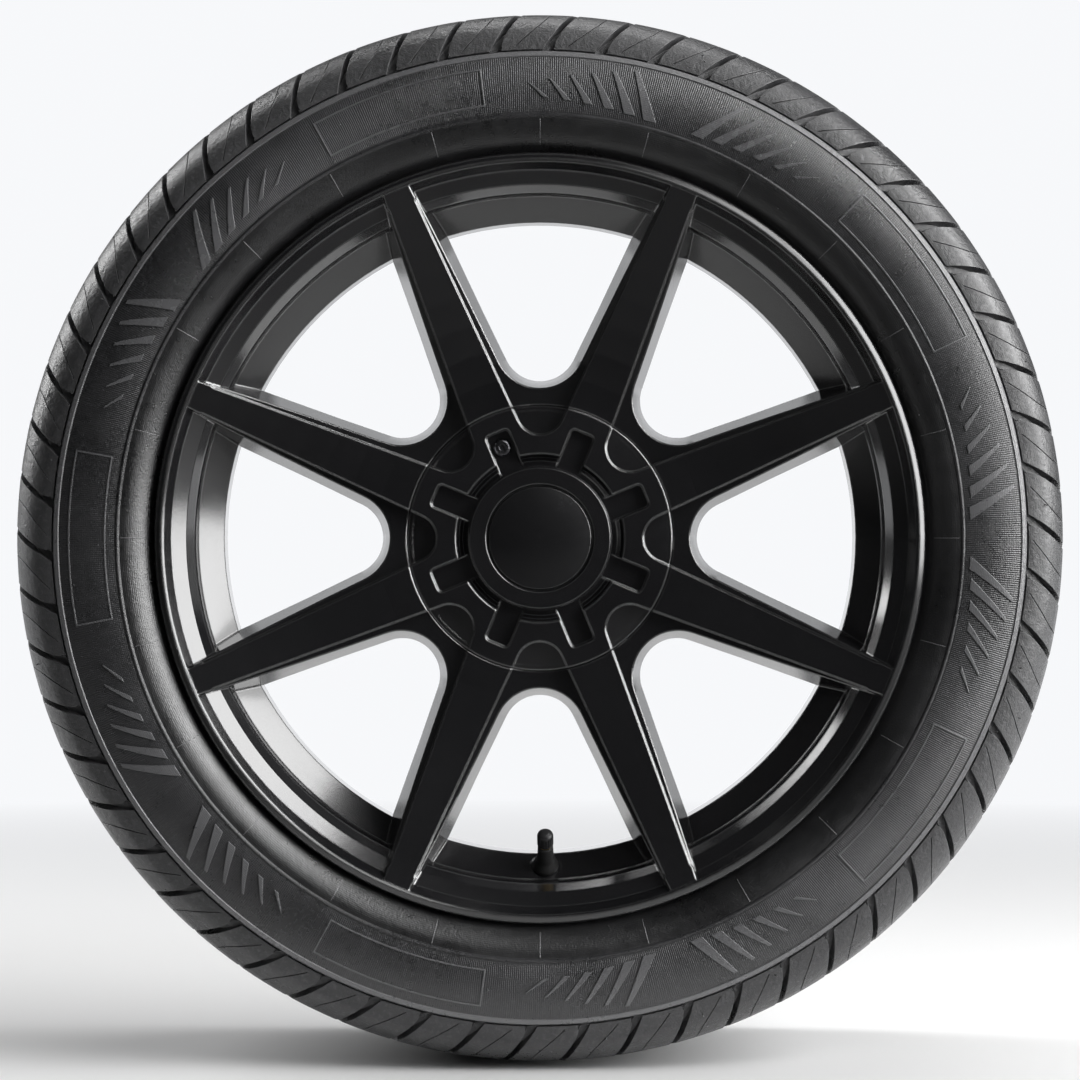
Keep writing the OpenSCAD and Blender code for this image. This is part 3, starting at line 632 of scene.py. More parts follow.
def blend_colours(tree, share, a, b):
    made = tree.nodes.new("ShaderNodeMix")
    made.data_type = "RGBA"
    join(tree, share, made.inputs[0])
    join(tree, a, made.inputs[6])
    join(tree, b, made.inputs[7])
    return made.outputs[2]


def noise(tree, place, scale, detail=3.0, rough=0.5):
    made = tree.nodes.new("ShaderNodeTexNoise")
    join(tree, place, made.inputs["Vector"])
    join(tree, scale, made.inputs["Scale"])
    made.inputs["Detail"].default_value = detail
    made.inputs["Roughness"].default_value = rough
    return made.outputs["Fac"]


def group(name, inputs, outputs, build):
    """A named node group; build takes the tree and its input sockets and gives its outputs in order."""
    if name in bpy.data.node_groups:
        return bpy.data.node_groups[name]
    tree = bpy.data.node_groups.new(name, "ShaderNodeTree")
    kinds = {"float": "NodeSocketFloat", "colour": "NodeSocketColor", "vector": "NodeSocketVector"}
    for label, kind, default in inputs:
        socket = tree.interface.new_socket(name=label, in_out="INPUT", socket_type=kinds[kind])
        if default is not None:
            socket.default_value = default
    for label, kind in outputs:
        tree.interface.new_socket(name=label, in_out="OUTPUT", socket_type=kinds[kind])
    entry = tree.nodes.new("NodeGroupInput")
    leave = tree.nodes.new("NodeGroupOutput")
    for value, socket in zip(build(tree, entry.outputs), leave.inputs):
        join(tree, value, socket)
    return tree


def use(tree, made, **values):
    """Places a node group; values name its inputs."""
    node = tree.nodes.new("ShaderNodeGroup")
    node.node_tree = made
    for label, value in values.items():
        join(tree, value, node.inputs[label.replace("_", " ")])
    return node.outputs


def object_place(tree):
    return tree.nodes.new("ShaderNodeTexCoord").outputs["Object"]


def inside(tree, value, low, high, blur):
    """Mask that is 1 from low to high and fades out over blur beyond them."""
    return times(tree, ramp(tree, value, low - blur, low), ramp(tree, value, high + blur, high))


def build_polar(tree, _):
    xyz = shade(tree, "SeparateXYZ", object_place(tree)).outputs
    angle = calc(tree, "ARCTAN2", xyz[2], xyz[0])
    squares = [times(tree, xyz[k], xyz[k]) for k in (0, 2)]
    radius = calc(tree, "SQRT", plus(tree, *squares))
    return angle, radius, calc(tree, "ABSOLUTE", xyz[1])


def polar_group():
    """Angle round the spin axis, radius from it and distance from the middle plane."""
    outputs = [("Angle", "float"), ("Radius", "float"), ("Depth", "float")]
    return group("Polar place", [], outputs, build_polar)


def build_mottle(tree, given):
    place = object_place(tree)
    fine_scale = times(tree, given["Scale"], 14.0)
    broad = ramp(tree, noise(tree, place, given["Scale"], 4.0), 0.35, 0.65)
    fine = ramp(tree, noise(tree, place, fine_scale, 5.0, 0.6), 0.3, 0.7)
    mask = plus(tree, times(tree, broad, 0.6), times(tree, fine, 0.4))
    share = times(tree, mask, given["Amount"])
    tint = blend_colours(tree, share, given["Base"], given["Light"])
    uneven = times(tree, minus(tree, mask, 0.5), given["Spread"])
    return tint, plus(tree, given["Roughness"], uneven)


def mottle_group():
    """Broad and fine uneven colour and gloss."""
    return group(
        "Uneven finish",
        [("Base", "colour", (0.02, 0.02, 0.02, 1)), ("Light", "colour", (0.05, 0.05, 0.05, 1)),
         ("Scale", "float", 20.0), ("Amount", "float", 0.5), ("Roughness", "float", 0.5),
         ("Spread", "float", 0.1)],
        [("Color", "colour"), ("Roughness", "float")],
        build_mottle,
    )


def build_grain(tree, given):
    place = object_place(tree)
    coarse = noise(tree, place, given["Scale"], 2.0)
    fine = noise(tree, place, times(tree, given["Scale"], 4.0), 3.0)
    return [plus(tree, coarse, times(tree, fine, given["Fine"]))]


def grain_group():
    """Height of a paint's or a moulding's skin."""
    inputs = [("Scale", "float", 600.0), ("Fine", "float", 0.3)]
    return group("Skin grain", inputs, [("Height", "float")], build_grain)


def build_edge(tree, given):
    soft = shade(tree, "Bevel", given["Radius"], samples=6).outputs[0]
    true = tree.nodes.new("ShaderNodeNewGeometry").outputs["Normal"]
    likeness = shade(tree, "VectorMath", soft, true, operation="DOT_PRODUCT").outputs["Value"]
    return soft, ramp(tree, likeness, 0.995, 0.82)


def edge_group():
    """Normal that rounds sharp edges over a radius, and a mask of those edges."""
    outputs = [("Normal", "vector"), ("Edge", "float")]
    return group("Soft edge", [("Radius", "float", 0.0008)], outputs, build_edge)


# Flanks inside the rim's front, from barrel to lip: inner radius, outer radius, and how far each leans out
RIM_FLANKS = ((0.1940, 0.2113, 0.13), (0.2117, 0.2168, -0.80), (0.2168, 0.2252, -0.13))
FLANK_BLUR = 0.0004
FLANKS_FRONT = (-0.1090, -0.1080)
FLANKS_BACK = (-0.058, -0.062)


def scaled(tree, vector, factor):
    made = shade(tree, "VectorMath", vector, operation="SCALE")
    join(tree, factor, made.inputs["Scale"])
    return made.outputs[0]


def build_rim_turn(tree, given):
    xyz = shade(tree, "SeparateXYZ", object_place(tree)).outputs
    radius = given["Radius"]
    east, north = [calc(tree, "DIVIDE", xyz[k], radius) for k in (0, 2)]
    out = shade(tree, "CombineXYZ", east, 0.0, north).outputs[0]
    facing = shade(tree, "VectorMath", given["Normal"], out, operation="DOT_PRODUCT").outputs["Value"]
    front = times(tree, ramp(tree, xyz[1], *FLANKS_FRONT), ramp(tree, xyz[1], *FLANKS_BACK))
    share = times(tree, front, ramp(tree, calc(tree, "ABSOLUTE", facing), 0.25, 0.4))
    half = FLANK_BLUR / 2
    turns = [
        times(tree, inside(tree, radius, low + half, high - half, FLANK_BLUR), lean)
        for low, high, lean in RIM_FLANKS
    ]
    turn = plus(tree, plus(tree, turns[0], turns[1]), turns[2])
    lean = scaled(tree, out, times(tree, turn, share))
    total = shade(tree, "VectorMath", given["Normal"], lean, operation="ADD").outputs[0]
    return [shade(tree, "VectorMath", total, operation="NORMALIZE").outputs[0]]


def rim_turn_group():
    """Normal of the rim's inner flanks: the lip and the slope lie flatter, the wall between them steeper."""
    inputs = [("Normal", "vector", None), ("Radius", "float", 0.2)]
    return group("Rim flanks", inputs, [("Normal", "vector")], build_rim_turn)


def new_material(name):
    material = bpy.data.materials.new(name)
    material.use_nodes = True
    tree = material.node_tree
    return material, tree, tree.nodes["Principled BSDF"]


def bump(tree, height, strength, distance, normal=None):
    made = tree.nodes.new("ShaderNodeBump")
    made.inputs["Strength"].default_value = strength
    made.inputs["Distance"].default_value = distance
    join(tree, height, made.inputs["Height"])
    join(tree, normal, made.inputs["Normal"])
    return made.outputs[0]


def give(material, *names):
    for name in names:
        obj = bpy.data.objects[name]
        obj.data.materials.clear()
        obj.data.materials.append(material)


def colour(values, factor=1.0):
    return tuple(min(v * factor, 1.0) for v in values) + (1.0,)


# Moulded finishes: tone of the painted highlight on edges and of pale patches against the base, scale of the
# patches, depth of the skin in metres, and how far into an edge the metallic painted highlight starts and is
# full
EDGE_HIGHLIGHT_LIFT = 2.2
PATCH_LIFT = 1.7
PATCH_SCALE = 14.0
SKIN_DEPTH = 0.0002
METALLIC_HIGHLIGHT_EDGE = (0.05, 0.35)

# The same for metals
METAL_PATCH_LIFT = 1.3
METAL_PATCH_SCALE = 60.0
METAL_SKIN_DEPTH = 0.0001


def moulded(name, base, rough, spread, grain, strength, edge, shine=0.35, gloss=1.5, metallic_edge_highlight=0.0, rim=False):
    """Painted or moulded finish: uneven gloss, skin grain and soft edges, with edges painted lighter as a
    painted highlight, and where asked a bright metallic painted highlight along them.

    Roughness varies by spread; grain is the scale of the skin and strength its depth, edge the radius of soft
    edges, shine and gloss are specular level and refraction; the brightness of the metallic painted highlight
    on edges has its own argument, 0 for none.
    """
    material, tree, shader = new_material(name)
    soft = use(tree, edge_group(), Radius=edge)
    finish = use(
        tree, mottle_group(), Base=colour(base), Light=colour(base, PATCH_LIFT), Scale=PATCH_SCALE,
        Amount=0.5, Roughness=rough, Spread=spread,
    )
    # painted highlight: edges lighter than the base colour
    edge_highlight_share = times(tree, soft["Edge"], 0.5)
    tint = blend_colours(tree, edge_highlight_share, finish["Color"], colour(base, EDGE_HIGHLIGHT_LIFT))
    # painted highlight: where asked, edges turn bright and metallic
    if metallic_edge_highlight:
        metallic_highlight_share = ramp(tree, soft["Edge"], *METALLIC_HIGHLIGHT_EDGE)
        tint = blend_colours(tree, metallic_highlight_share, tint, (metallic_edge_highlight, metallic_edge_highlight, metallic_edge_highlight, 1.0))
        join(tree, metallic_highlight_share, shader.inputs["Metallic"])
    join(tree, tint, shader.inputs["Base Color"])
    join(tree, finish["Roughness"], shader.inputs["Roughness"])
    shader.inputs["Specular IOR Level"].default_value = shine
    shader.inputs["IOR"].default_value = gloss
    height = use(tree, grain_group(), Scale=grain, Fine=0.35)["Height"]
    normal = soft["Normal"]
    if rim:
        radius = use(tree, polar_group())["Radius"]
        normal = use(tree, rim_turn_group(), Normal=normal, Radius=radius)["Normal"]
    join(tree, bump(tree, height, strength, SKIN_DEPTH, normal), shader.inputs["Normal"])
    return material


def metal(name, base, rough, grain, edge):
    """Turned or drawn metal with a fine grain and soft edges."""
    material, tree, shader = new_material(name)
    soft = use(tree, edge_group(), Radius=edge)
    finish = use(
        tree, mottle_group(), Base=colour(base), Light=colour(base, METAL_PATCH_LIFT),
        Scale=METAL_PATCH_SCALE, Amount=0.6, Roughness=rough, Spread=0.15,
    )
    join(tree, finish["Color"], shader.inputs["Base Color"])
    join(tree, finish["Roughness"], shader.inputs["Roughness"])
    shader.inputs["Metallic"].default_value = 1.0
    height = use(tree, grain_group(), Scale=grain, Fine=0.5)["Height"]
    join(tree, bump(tree, height, 0.2, METAL_SKIN_DEPTH, soft["Normal"]), shader.inputs["Normal"])
    return material


# Zones of the rubber in metres, each from where it starts to where it is full: by radius or by distance
# from the middle plane
SHOULDER_BY_R = (0.2968, 0.2985)
SHOULDER_BY_DEPTH = (0.070, 0.086)
TREAD_BY_R = (0.312, 0.318)
TREAD_BY_DEPTH = (0.090, 0.078)
FOOT_BY_R = (0.3125, 0.3075)
BAND_BY_R = (0.2568, 0.2556)
RIB_BY_DEPTH = (0.104, 0.106)
RIB_HALF_W = 0.0014
WALL_FROM, WALL_TO = 0.2600, 0.2928

# Patterns of the rubber: pitch of the mould's turning rings in metres, radial hatching lines in one radian,
# scales of the patches, specks, pits and skin, and depth of it all in metres
RING_PITCH = 0.0011
HATCH_LINES = 1400.0
RUBBER_PATCHES = 11.0
RUBBER_SPECKS = 420.0
RUBBER_PITS = 260.0
RUBBER_SKIN = 900.0
RUBBER_DEPTH = 0.0003

# Tones of the rubber against its base colour: the bead band darkened as painted shade, patches, edges
# lightened as a painted highlight, and specks
BAND_SHADE_TONE = 0.45
PATCH_TONE = 2.6
EDGE_HIGHLIGHT_TONE = 4.0
SPECK_TONE = 5.0


def rubber_material(name, plain=False):
    """Tyre rubber: satin sidewall with fine hatching between the ribs, glossy shoulder, duller tread."""
    look = bpy.context.scene.tyre_look
    material, tree, shader = new_material(name)
    spot = use(tree, polar_group())
    angle, radius, depth = spot["Angle"], spot["Radius"], spot["Depth"]
    place = object_place(tree)
    soft = use(tree, edge_group(), Radius=0.0006)
    shoulder = times(tree, ramp(tree, radius, *SHOULDER_BY_R), ramp(tree, depth, *SHOULDER_BY_DEPTH))
    tread = times(tree, ramp(tree, radius, *TREAD_BY_R), ramp(tree, depth, *TREAD_BY_DEPTH))
    foot = times(tree, shoulder, ramp(tree, radius, *FOOT_BY_R))
    wall = inside(tree, radius, WALL_FROM, WALL_TO, 0.0010)
    band = ramp(tree, radius, *BAND_BY_R)
    upper = UPPER_RIB_R * MM
    rib = inside(tree, radius, upper - RIB_HALF_W, upper + RIB_HALF_W, 0.0006)
    rib = times(tree, rib, ramp(tree, depth, *RIB_BY_DEPTH))

    # colour and gloss: patches, pale specks, edges lightened as a painted highlight, the rib at the shoulder
    # lightened as a painted highlight, and the lighter grey of the relief
    # painted shade: the bead band next to the rim's flange is darker, as the crevice's shadow
    uneven = minus(tree, 0.75, times(tree, band, 0.45))
    finish = use(
        tree, mottle_group(), Light=colour(look.rubber, PATCH_TONE), Scale=RUBBER_PATCHES, Amount=uneven,
        Base=blend_colours(tree, band, colour(look.rubber), colour(look.rubber, BAND_SHADE_TONE)),
        Roughness=0.34, Spread=0.26,
    )
    specks = ramp(tree, noise(tree, place, RUBBER_SPECKS, 3.0, 0.6), 0.52, 0.68)
    specks = times(tree, specks, minus(tree, 1.0, band))
    # painted highlight: edges of the rubber lighter
    edge_highlight_share = times(tree, soft["Edge"], 0.5)
    tint = blend_colours(tree, edge_highlight_share, finish["Color"], colour(look.rubber, EDGE_HIGHLIGHT_TONE))
    tint = blend_colours(tree, times(tree, specks, 0.5), tint, colour(look.rubber, SPECK_TONE))
    # painted highlight on the rib at the shoulder; raised pieces take the lighter relief grey
    tint = blend_colours(tree, 0.8 if plain else rib, tint, colour(look.relief_tone_and_rib_highlight))
    join(tree, tint, shader.inputs["Base Color"])
    if plain:
        rough = minus(tree, finish["Roughness"], 0.04)
    else:
        rough = plus(tree, finish["Roughness"], times(tree, foot, 0.30))
        rough = minus(tree, rough, times(tree, specks, 0.10))
    join(tree, rough, shader.inputs["Roughness"])
    shader.inputs["Specular IOR Level"].default_value = 1.0
    shader.inputs["IOR"].default_value = 1.55

    # height: skin and turning rings everywhere, hatching on the wall, pits mostly on the shoulder
    skin = use(tree, grain_group(), Scale=RUBBER_SKIN, Fine=0.4)["Height"]
    rings = calc(tree, "SINE", times(tree, radius, 2 * math.pi / RING_PITCH))
    off_tread = minus(tree, 1.0, tread)
    height = plus(tree, times(tree, times(tree, rings, 0.10), off_tread), skin)
    if not plain:
        wander = times(tree, noise(tree, place, 40.0, 3.0), 14.0)
        hatch = calc(tree, "SINE", plus(tree, times(tree, angle, HATCH_LINES), wander))
        height = plus(tree, height, times(tree, times(tree, hatch, wall), 0.45))
        pits = ramp(tree, noise(tree, place, RUBBER_PITS, 4.0, 0.65), 0.35, 0.65)
        pit_depth = plus(tree, 0.35, times(tree, shoulder, 1.1))
        height = plus(tree, height, times(tree, pits, pit_depth))
    join(tree, bump(tree, height, 0.5, RUBBER_DEPTH, soft["Normal"]), shader.inputs["Normal"])
    return material


# Sidewall relief


def on_side(turn, r, lift=0.0):
    """Place on the front sidewall at angle turn and radius r in millimetres, lifted off it."""
    return at(r, side(r) + lift, turn)


def side_patch(corners, across, up):
    """Grid on the sidewall between four corners of (degrees, radius): inner left, inner right, outer two."""
    deselect()
    bpy.ops.mesh.primitive_grid_add(x_subdivisions=across, y_subdivisions=up, size=2.0, location=(0, 0, 0))
    obj = bpy.context.object
    begin_edit(obj)
    mesh, bm = mesh_in_edit()
    for v in bm.verts:
        s, t = (v.co.x + 1) / 2, (v.co.y + 1) / 2
        low = [corners[0][k] + (corners[1][k] - corners[0][k]) * s for k in (0, 1)]
        high = [corners[2][k] + (corners[3][k] - corners[2][k]) * s for k in (0, 1)]
        a, r = [low[k] + (high[k] - low[k]) * t for k in (0, 1)]
        v.co = on_side(math.radians(a), r)
    bmesh.update_edit_mesh(mesh)
    end_edit()
    return obj


# Depth by which a bar's foot is sunk into the wall
SUNK = 0.0003


def raise_patch(obj, height, chamfer):
    """Turns a patch into a bar that stands on the sidewall, with a ring inset round its top."""
    begin_edit(obj, "FACE")
    face_outwards()
    _, bm = mesh_in_edit()
    bm.normal_update()
    if sum(f.normal.y for f in bm.faces) > 0:
        bpy.ops.mesh.flip_normals()
    bpy.ops.transform.translate(value=(0, SUNK, 0))
    bpy.ops.mesh.extrude_region_move(TRANSFORM_OT_translate={"value": (0, -height - SUNK, 0)})
    bpy.ops.mesh.inset(thickness=chamfer, depth=0.0)
    end_edit()


def join_pieces(pieces):
    deselect()
    for piece in pieces:
        piece.select_set(True)
    bpy.context.view_layer.objects.active = pieces[0]
    bpy.ops.object.join()
    return bpy.context.object


# Relief repeated round the sidewall: fans of bars and long frames. Angles in degrees, radii in millimetres,
# chamfers in metres
RELIEF_REPEATS = 5
FAN_BARS = 6
FAN_START = 2.4
FAN_STEP = 2.9
BAR_WIDE = 1.75
BAR_NARROWS = 0.22
BAR_TIP_SHARE = 0.32
BAR_FOOT_R = 262.0
BAR_FOOT_RISES = 1.2
BAR_TIP_R = 290.0
BAR_TIP_DROPS = 2.6
BAR_LEAN = 3.6
BAR_LEAN_DROPS = 0.25
FRAME_LEFT, FRAME_RIGHT = 25.2, 46.8
FRAME_LOW, FRAME_HIGH = 264.5, 287.5
FRAME_LINE = 1.0
FRAME_POST = 0.22
FRAME_HEIGHT_SHARE = 0.7
BAR_CHAMFER = 0.00025
FRAME_CHAMFER = 0.00015


class WHEEL_OT_sidewall(bpy.types.Operator):
    """Raised swept bars and framed panels on the tyre's front sidewall"""

    bl_idname = "wheel.sidewall"
    bl_label = "Sidewall relief"

    def execute(self, context):
        height = context.scene.tyre_look.relief
        pieces = []
        # a fan of bars that shorten and thin out, either way from the middle of each repeat
        for way in (-1, 1):
            for k in range(FAN_BARS):
                start = way * (FAN_START + FAN_STEP * k)
                wide = BAR_WIDE - BAR_NARROWS * k
                foot = BAR_FOOT_R + BAR_FOOT_RISES * k
                tip = BAR_TIP_R - BAR_TIP_DROPS * k
                lean = way * (BAR_LEAN - BAR_LEAN_DROPS * k)
                left, right = sorted((start, start + way * wide))
                tip_left = left + lean
                tip_right = tip_left + wide * BAR_TIP_SHARE
                corners = [(left, foot), (right, foot), (tip_left, tip), (tip_right, tip)]
                pieces.append(side_patch(corners, 1, 8))
        for bar in pieces:
            raise_patch(bar, height, BAR_CHAMFER)
        # a long frame between the fans: two rails and two posts
        low, high = FRAME_LOW + FRAME_LINE, FRAME_HIGH - FRAME_LINE
        bars = [(FRAME_LEFT, FRAME_RIGHT, FRAME_LOW, low), (FRAME_LEFT, FRAME_RIGHT, high, FRAME_HIGH)]
        bars.append((FRAME_LEFT, FRAME_LEFT + FRAME_POST, low, high))
        bars.append((FRAME_RIGHT - FRAME_POST, FRAME_RIGHT, low, high))
        for k, (left, right, foot, top) in enumerate(bars):
            corners = [(left, foot), (right, foot), (left, top), (right, top)]
            bar = side_patch(corners, *((24, 1) if k < 2 else (1, 8)))
            raise_patch(bar, height * FRAME_HEIGHT_SHARE, FRAME_CHAMFER)
            pieces.append(bar)
        obj = join_pieces(pieces)
        repeat_round(obj, RELIEF_REPEATS)
        bpy.ops.object.shade_smooth_by_angle(angle=RELIEF_SMOOTH)
        name_piece(obj, "sidewall_relief", "wheel", "tyre_rubber")
        return {"FINISHED"}


# Mould lines on the bead band, and vent hairs at random places in three zones. Radii in millimetres, the
# lines' height and chamfer and the hairs' thickness in metres
MOULD_LINES = 24
MOULD_LINE_FROM, MOULD_LINE_TO = 240.5, 255.5
MOULD_LINE_HALF_ANGLE = 0.0011
MOULD_LINE_BULGE = 2.2
MOULD_LINE_HEIGHT = 0.00035
MOULD_LINE_CHAMFER = 0.0001
HAIRS = 46
HAIR_SEED = 17
HAIR_ZONES = ((240.0, 255.0), (260.0, 291.0), (299.0, 318.0))
HAIR_FOOT = 0.0004
HAIR_TIP = 0.00018
HAIR_SHORTEST = 0.25
HAIR_LEAN = 0.5
HAIR_MIDDLE = 0.42
BAND_FROM_R = 238.2
BAND_SLOPE = 0.59


def hair_root(r, turn):
    """Place and direction in which a vent hair leaves the tyre."""
    if r > SHOULDER_R:
        a = math.acos(1 - (EDGE_R - r) / SHOULDER_DROP)
        place = at(r, TREAD_EDGE + (SHOULDER_Z - TREAD_EDGE) * math.sin(a), turn)
        return place, at(math.cos(a), math.sin(a), turn) / MM
    z = side(r) if r > LOWER_RIB_R else FLANGE_TOP[1] + (r - BAND_FROM_R) * BAND_SLOPE
    return at(r, z, turn), Vector((0, -1, 0))


class WHEEL_OT_mould_lines(bpy.types.Operator):
    """Thin mould lines on the bead band, and vent hairs on the shoulder and wall"""

    bl_idname = "wheel.mould_lines"
    bl_label = "Mould lines and vent hairs"

    def execute(self, context):
        deselect()
        bpy.ops.mesh.primitive_grid_add(x_subdivisions=1, y_subdivisions=6, size=2.0, location=(0, 0, 0))
        line = bpy.context.object
        begin_edit(line)
        mesh, bm = mesh_in_edit()
        for v in bm.verts:
            r = MOULD_LINE_FROM + (MOULD_LINE_TO - MOULD_LINE_FROM) * (v.co.y + 1) / 2
            v.co = at(r, bead_band(r, MOULD_LINE_BULGE), v.co.x * MOULD_LINE_HALF_ANGLE)
        bmesh.update_edit_mesh(mesh)
        end_edit()
        raise_patch(line, MOULD_LINE_HEIGHT, MOULD_LINE_CHAMFER)
        repeat_round(line, MOULD_LINES)
        name_piece(line, "mould_lines", "wheel", "tyre_rubber")

        rng = random.Random(HAIR_SEED)
        longest = context.scene.tyre_look.hair
        hairs = []
        for _ in range(HAIRS):
            r = rng.choice([rng.uniform(*zone) for zone in HAIR_ZONES])
            root, out = hair_root(r, rng.uniform(0, 2 * math.pi))
            length = longest * rng.uniform(HAIR_SHORTEST, 1.0)
            lean = Vector([rng.uniform(-HAIR_LEAN, HAIR_LEAN) for _ in range(3)])
            direction = (out + lean).normalized()
            deselect()
            bpy.ops.mesh.primitive_cone_add(
                vertices=5, radius1=HAIR_FOOT, radius2=HAIR_TIP, depth=length,
                location=root + direction * length * HAIR_MIDDLE,
                rotation=direction.to_track_quat("Z", "Y").to_euler(),
            )
            hairs.append(bpy.context.object)
        obj = join_pieces(hairs)
        settle(obj)
        bpy.ops.object.shade_smooth()
        name_piece(obj, "vent_hairs", "wheel", "tyre_rubber")
        return {"FINISHED"}


class WHEEL_OT_core_coil(bpy.types.Operator):
    """Coil spring under the head of the valve's pin, wound to the length of the spring part; the real spring
    shortens as the pin is pressed
    """

    bl_idname = "wheel.core_coil"
    bl_label = "Valve spring"

    def execute(self, context):
        press = next(j for j in frame["joints"] if j["name"] == "pin_press")
        way = -Vector(press["axis"]).normalized()
        points = [v.co for v in bpy.data.objects["core_spring"].data.vertices]
        heights = [p.dot(way) for p in points]
        length = max(heights) - min(heights)
        spokes = [p - way * p.dot(way) for p in points]
        middle = Vector([(min(p[k] for p in spokes) + max(p[k] for p in spokes)) / 2 for k in range(3)])
        outer = max((p - middle).length for p in spokes)
        foot = middle + way * min(heights)
        wire = COIL_WIRE * MM / 2
        pitch = (length - 2 * wire - COIL_GAP * MM) / COIL_TURNS

        deselect()
        bpy.ops.mesh.primitive_circle_add(
            vertices=COIL_SIDES, radius=wire, fill_type="NOTHING", location=(outer - wire, 0, wire),
            rotation=(math.radians(90), 0, 0),
        )
        obj = bpy.context.object
        settle(obj)
        winding = obj.modifiers.new("winding", "SCREW")
        winding.axis = "Z"
        winding.screw_offset = pitch
        winding.iterations = COIL_TURNS
        winding.steps = winding.render_steps = COIL_STEPS
        bpy.ops.object.modifier_apply(modifier="winding")
        begin_edit(obj)
        weld(FINE_WELD)
        select_all()
        bpy.ops.mesh.fill_holes(sides=0)
        face_outwards()
        end_edit()
        bpy.ops.object.shade_smooth_by_angle(angle=COIL_SMOOTH)
        obj.matrix_world = Matrix.Translation(foot) @ way.to_track_quat("Z", "Y").to_matrix().to_4x4()
        settle(obj)
        name_piece(obj, "core_coil", "wheel", "spring_steel", "core_spring")
        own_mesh(obj)
        return {"FINISHED"}


class WHEEL_OT_finishes(bpy.types.Operator):
    """Paint, plastic, rubber and metal on every part of the wheel"""

    bl_idname = "wheel.finishes"
    bl_label = "Finishes"

    def execute(self, context):
        look = context.scene.wheel_look
        give(rubber_material("tyre_rubber"), "tyre_body")
        give(rubber_material("raised_rubber", plain=True), "sidewall_relief", "mould_lines", "vent_hairs")
        give(moulded(
            "wheel_paint", look.paint, rough=0.165, spread=0.06, grain=520.0, strength=0.05,
            edge=look.edge, shine=0.5, gloss=2.0, metallic_edge_highlight=0.3, rim=True,
        ), "alloy_wheel")
        give(moulded(
            "cover_plastic", look.plastic, rough=0.17, spread=0.06, grain=900.0, strength=0.05,
            edge=look.edge, shine=0.5, gloss=2.0, metallic_edge_highlight=0.3,
        ), "centre_cover")
        give(moulded(
            "cap_plastic", look.plastic, rough=0.20, spread=0.05, grain=1100.0, strength=0.05,
            edge=look.edge / 2, shine=0.45, gloss=2.0, metallic_edge_highlight=0.2,
        ), "cap_body")
        give(moulded(
            "dome_plastic", look.plastic, rough=0.26, spread=0.05, grain=1200.0, strength=0.05,
            edge=look.edge / 2, shine=0.3, gloss=2.0, metallic_edge_highlight=0.2,
        ), "cap_dome")
        give(moulded(
            "valve_rubber", (0.02, 0.02, 0.02), rough=0.55, spread=0.1, grain=1500.0, strength=0.2,
            edge=0.0004,
        ), "valve_rubber")
        give(moulded(
            "dust_cap_plastic", (0.02, 0.02, 0.021), rough=0.4, spread=0.08, grain=1800.0, strength=0.15,
            edge=0.0003,
        ), "dust_cap")
        give(moulded(
            "seal_rubber", (0.08, 0.03, 0.025), rough=0.6, spread=0.1, grain=2000.0, strength=0.2,
            edge=0.0001,
        ), "dust_cap_seal", "core_gasket", "core_cup_seal")
        give(metal("screw_steel", (0.16, 0.16, 0.17), rough=0.24, grain=2500.0, edge=0.0006), "cover_screw")
        give(metal("spring_steel", (0.45, 0.46, 0.48), rough=0.35, grain=3000.0, edge=0.0001),
             "cap_spring_ring", "core_spring", "core_coil")
        give(metal("valve_brass", (0.72, 0.52, 0.22), rough=0.3, grain=3000.0, edge=0.0002),
             "valve_tube", "core_plug", "core_barrel", "core_pin", "core_cup")
        return {"FINISHED"}


# Stage

PALE = (0.93, 0.94, 0.96, 1.0)
FLOOR_SIZE = 40.0
SENSOR = 36.0
LENS_PER_DISTANCE = 52.14
FRAME_PIXELS = 1080
SHIFT_PIXELS = -2

# Distances in metres: where the floor's front, painted dark as painted shade, starts and is full, and where
# the floor fades into white
FLOOR_SHADED_FRONT = (-0.16, -0.40)
FLOOR_FADE = (0.7, 2.4)
FRONT_SHADE_TONE = 0.08

# Directions by how far they point straight back, from where the light starts to where it is full
SIDES_BACK = (0.15, 0.6)
STRAIGHT_BACK = (0.93, 0.96)
BACK_LIGHT = 1.4

# Lamps: name, place, width and height in metres, watts. The large key lamp stands at the right
LAMPS = (
    ("key_lamp", (2.02, -0.86, 0.86), (2.3, 2.2), 108.0),
    ("front_lamp", (0.75, -1.75, 1.35), (0.8, 0.5), 4.0),
    ("edge_lamp", (-1.7, 0.85, 1.15), (0.9, 2.0), 30.0),
    ("back_lamp", (2.05, 0.75, 0.8), (0.8, 2.0), 7.0),
    ("top_lamp", (0.3, 0.5, 2.1), (2.0, 0.6), 16.0),
)


def lamp(name, place, size, watts):
    """Soft rectangular lamp that faces the wheel's centre and isn't seen by the camera."""
    deselect()
    bpy.ops.object.light_add(type="AREA", location=place)
    obj = bpy.context.object
    obj.name = name
    obj.rotation_euler = (-Vector(place)).to_track_quat("-Z", "Y").to_euler()
    obj.data.shape = "RECTANGLE"
    obj.data.size, obj.data.size_y = size
    obj.data.energy = watts * bpy.context.scene.stage_look.lamps
    obj.visible_camera = False


def seen_directly(tree, rays):
    return calc(tree, "MAXIMUM", rays["Is Camera Ray"], rays["Is Transmission Ray"])


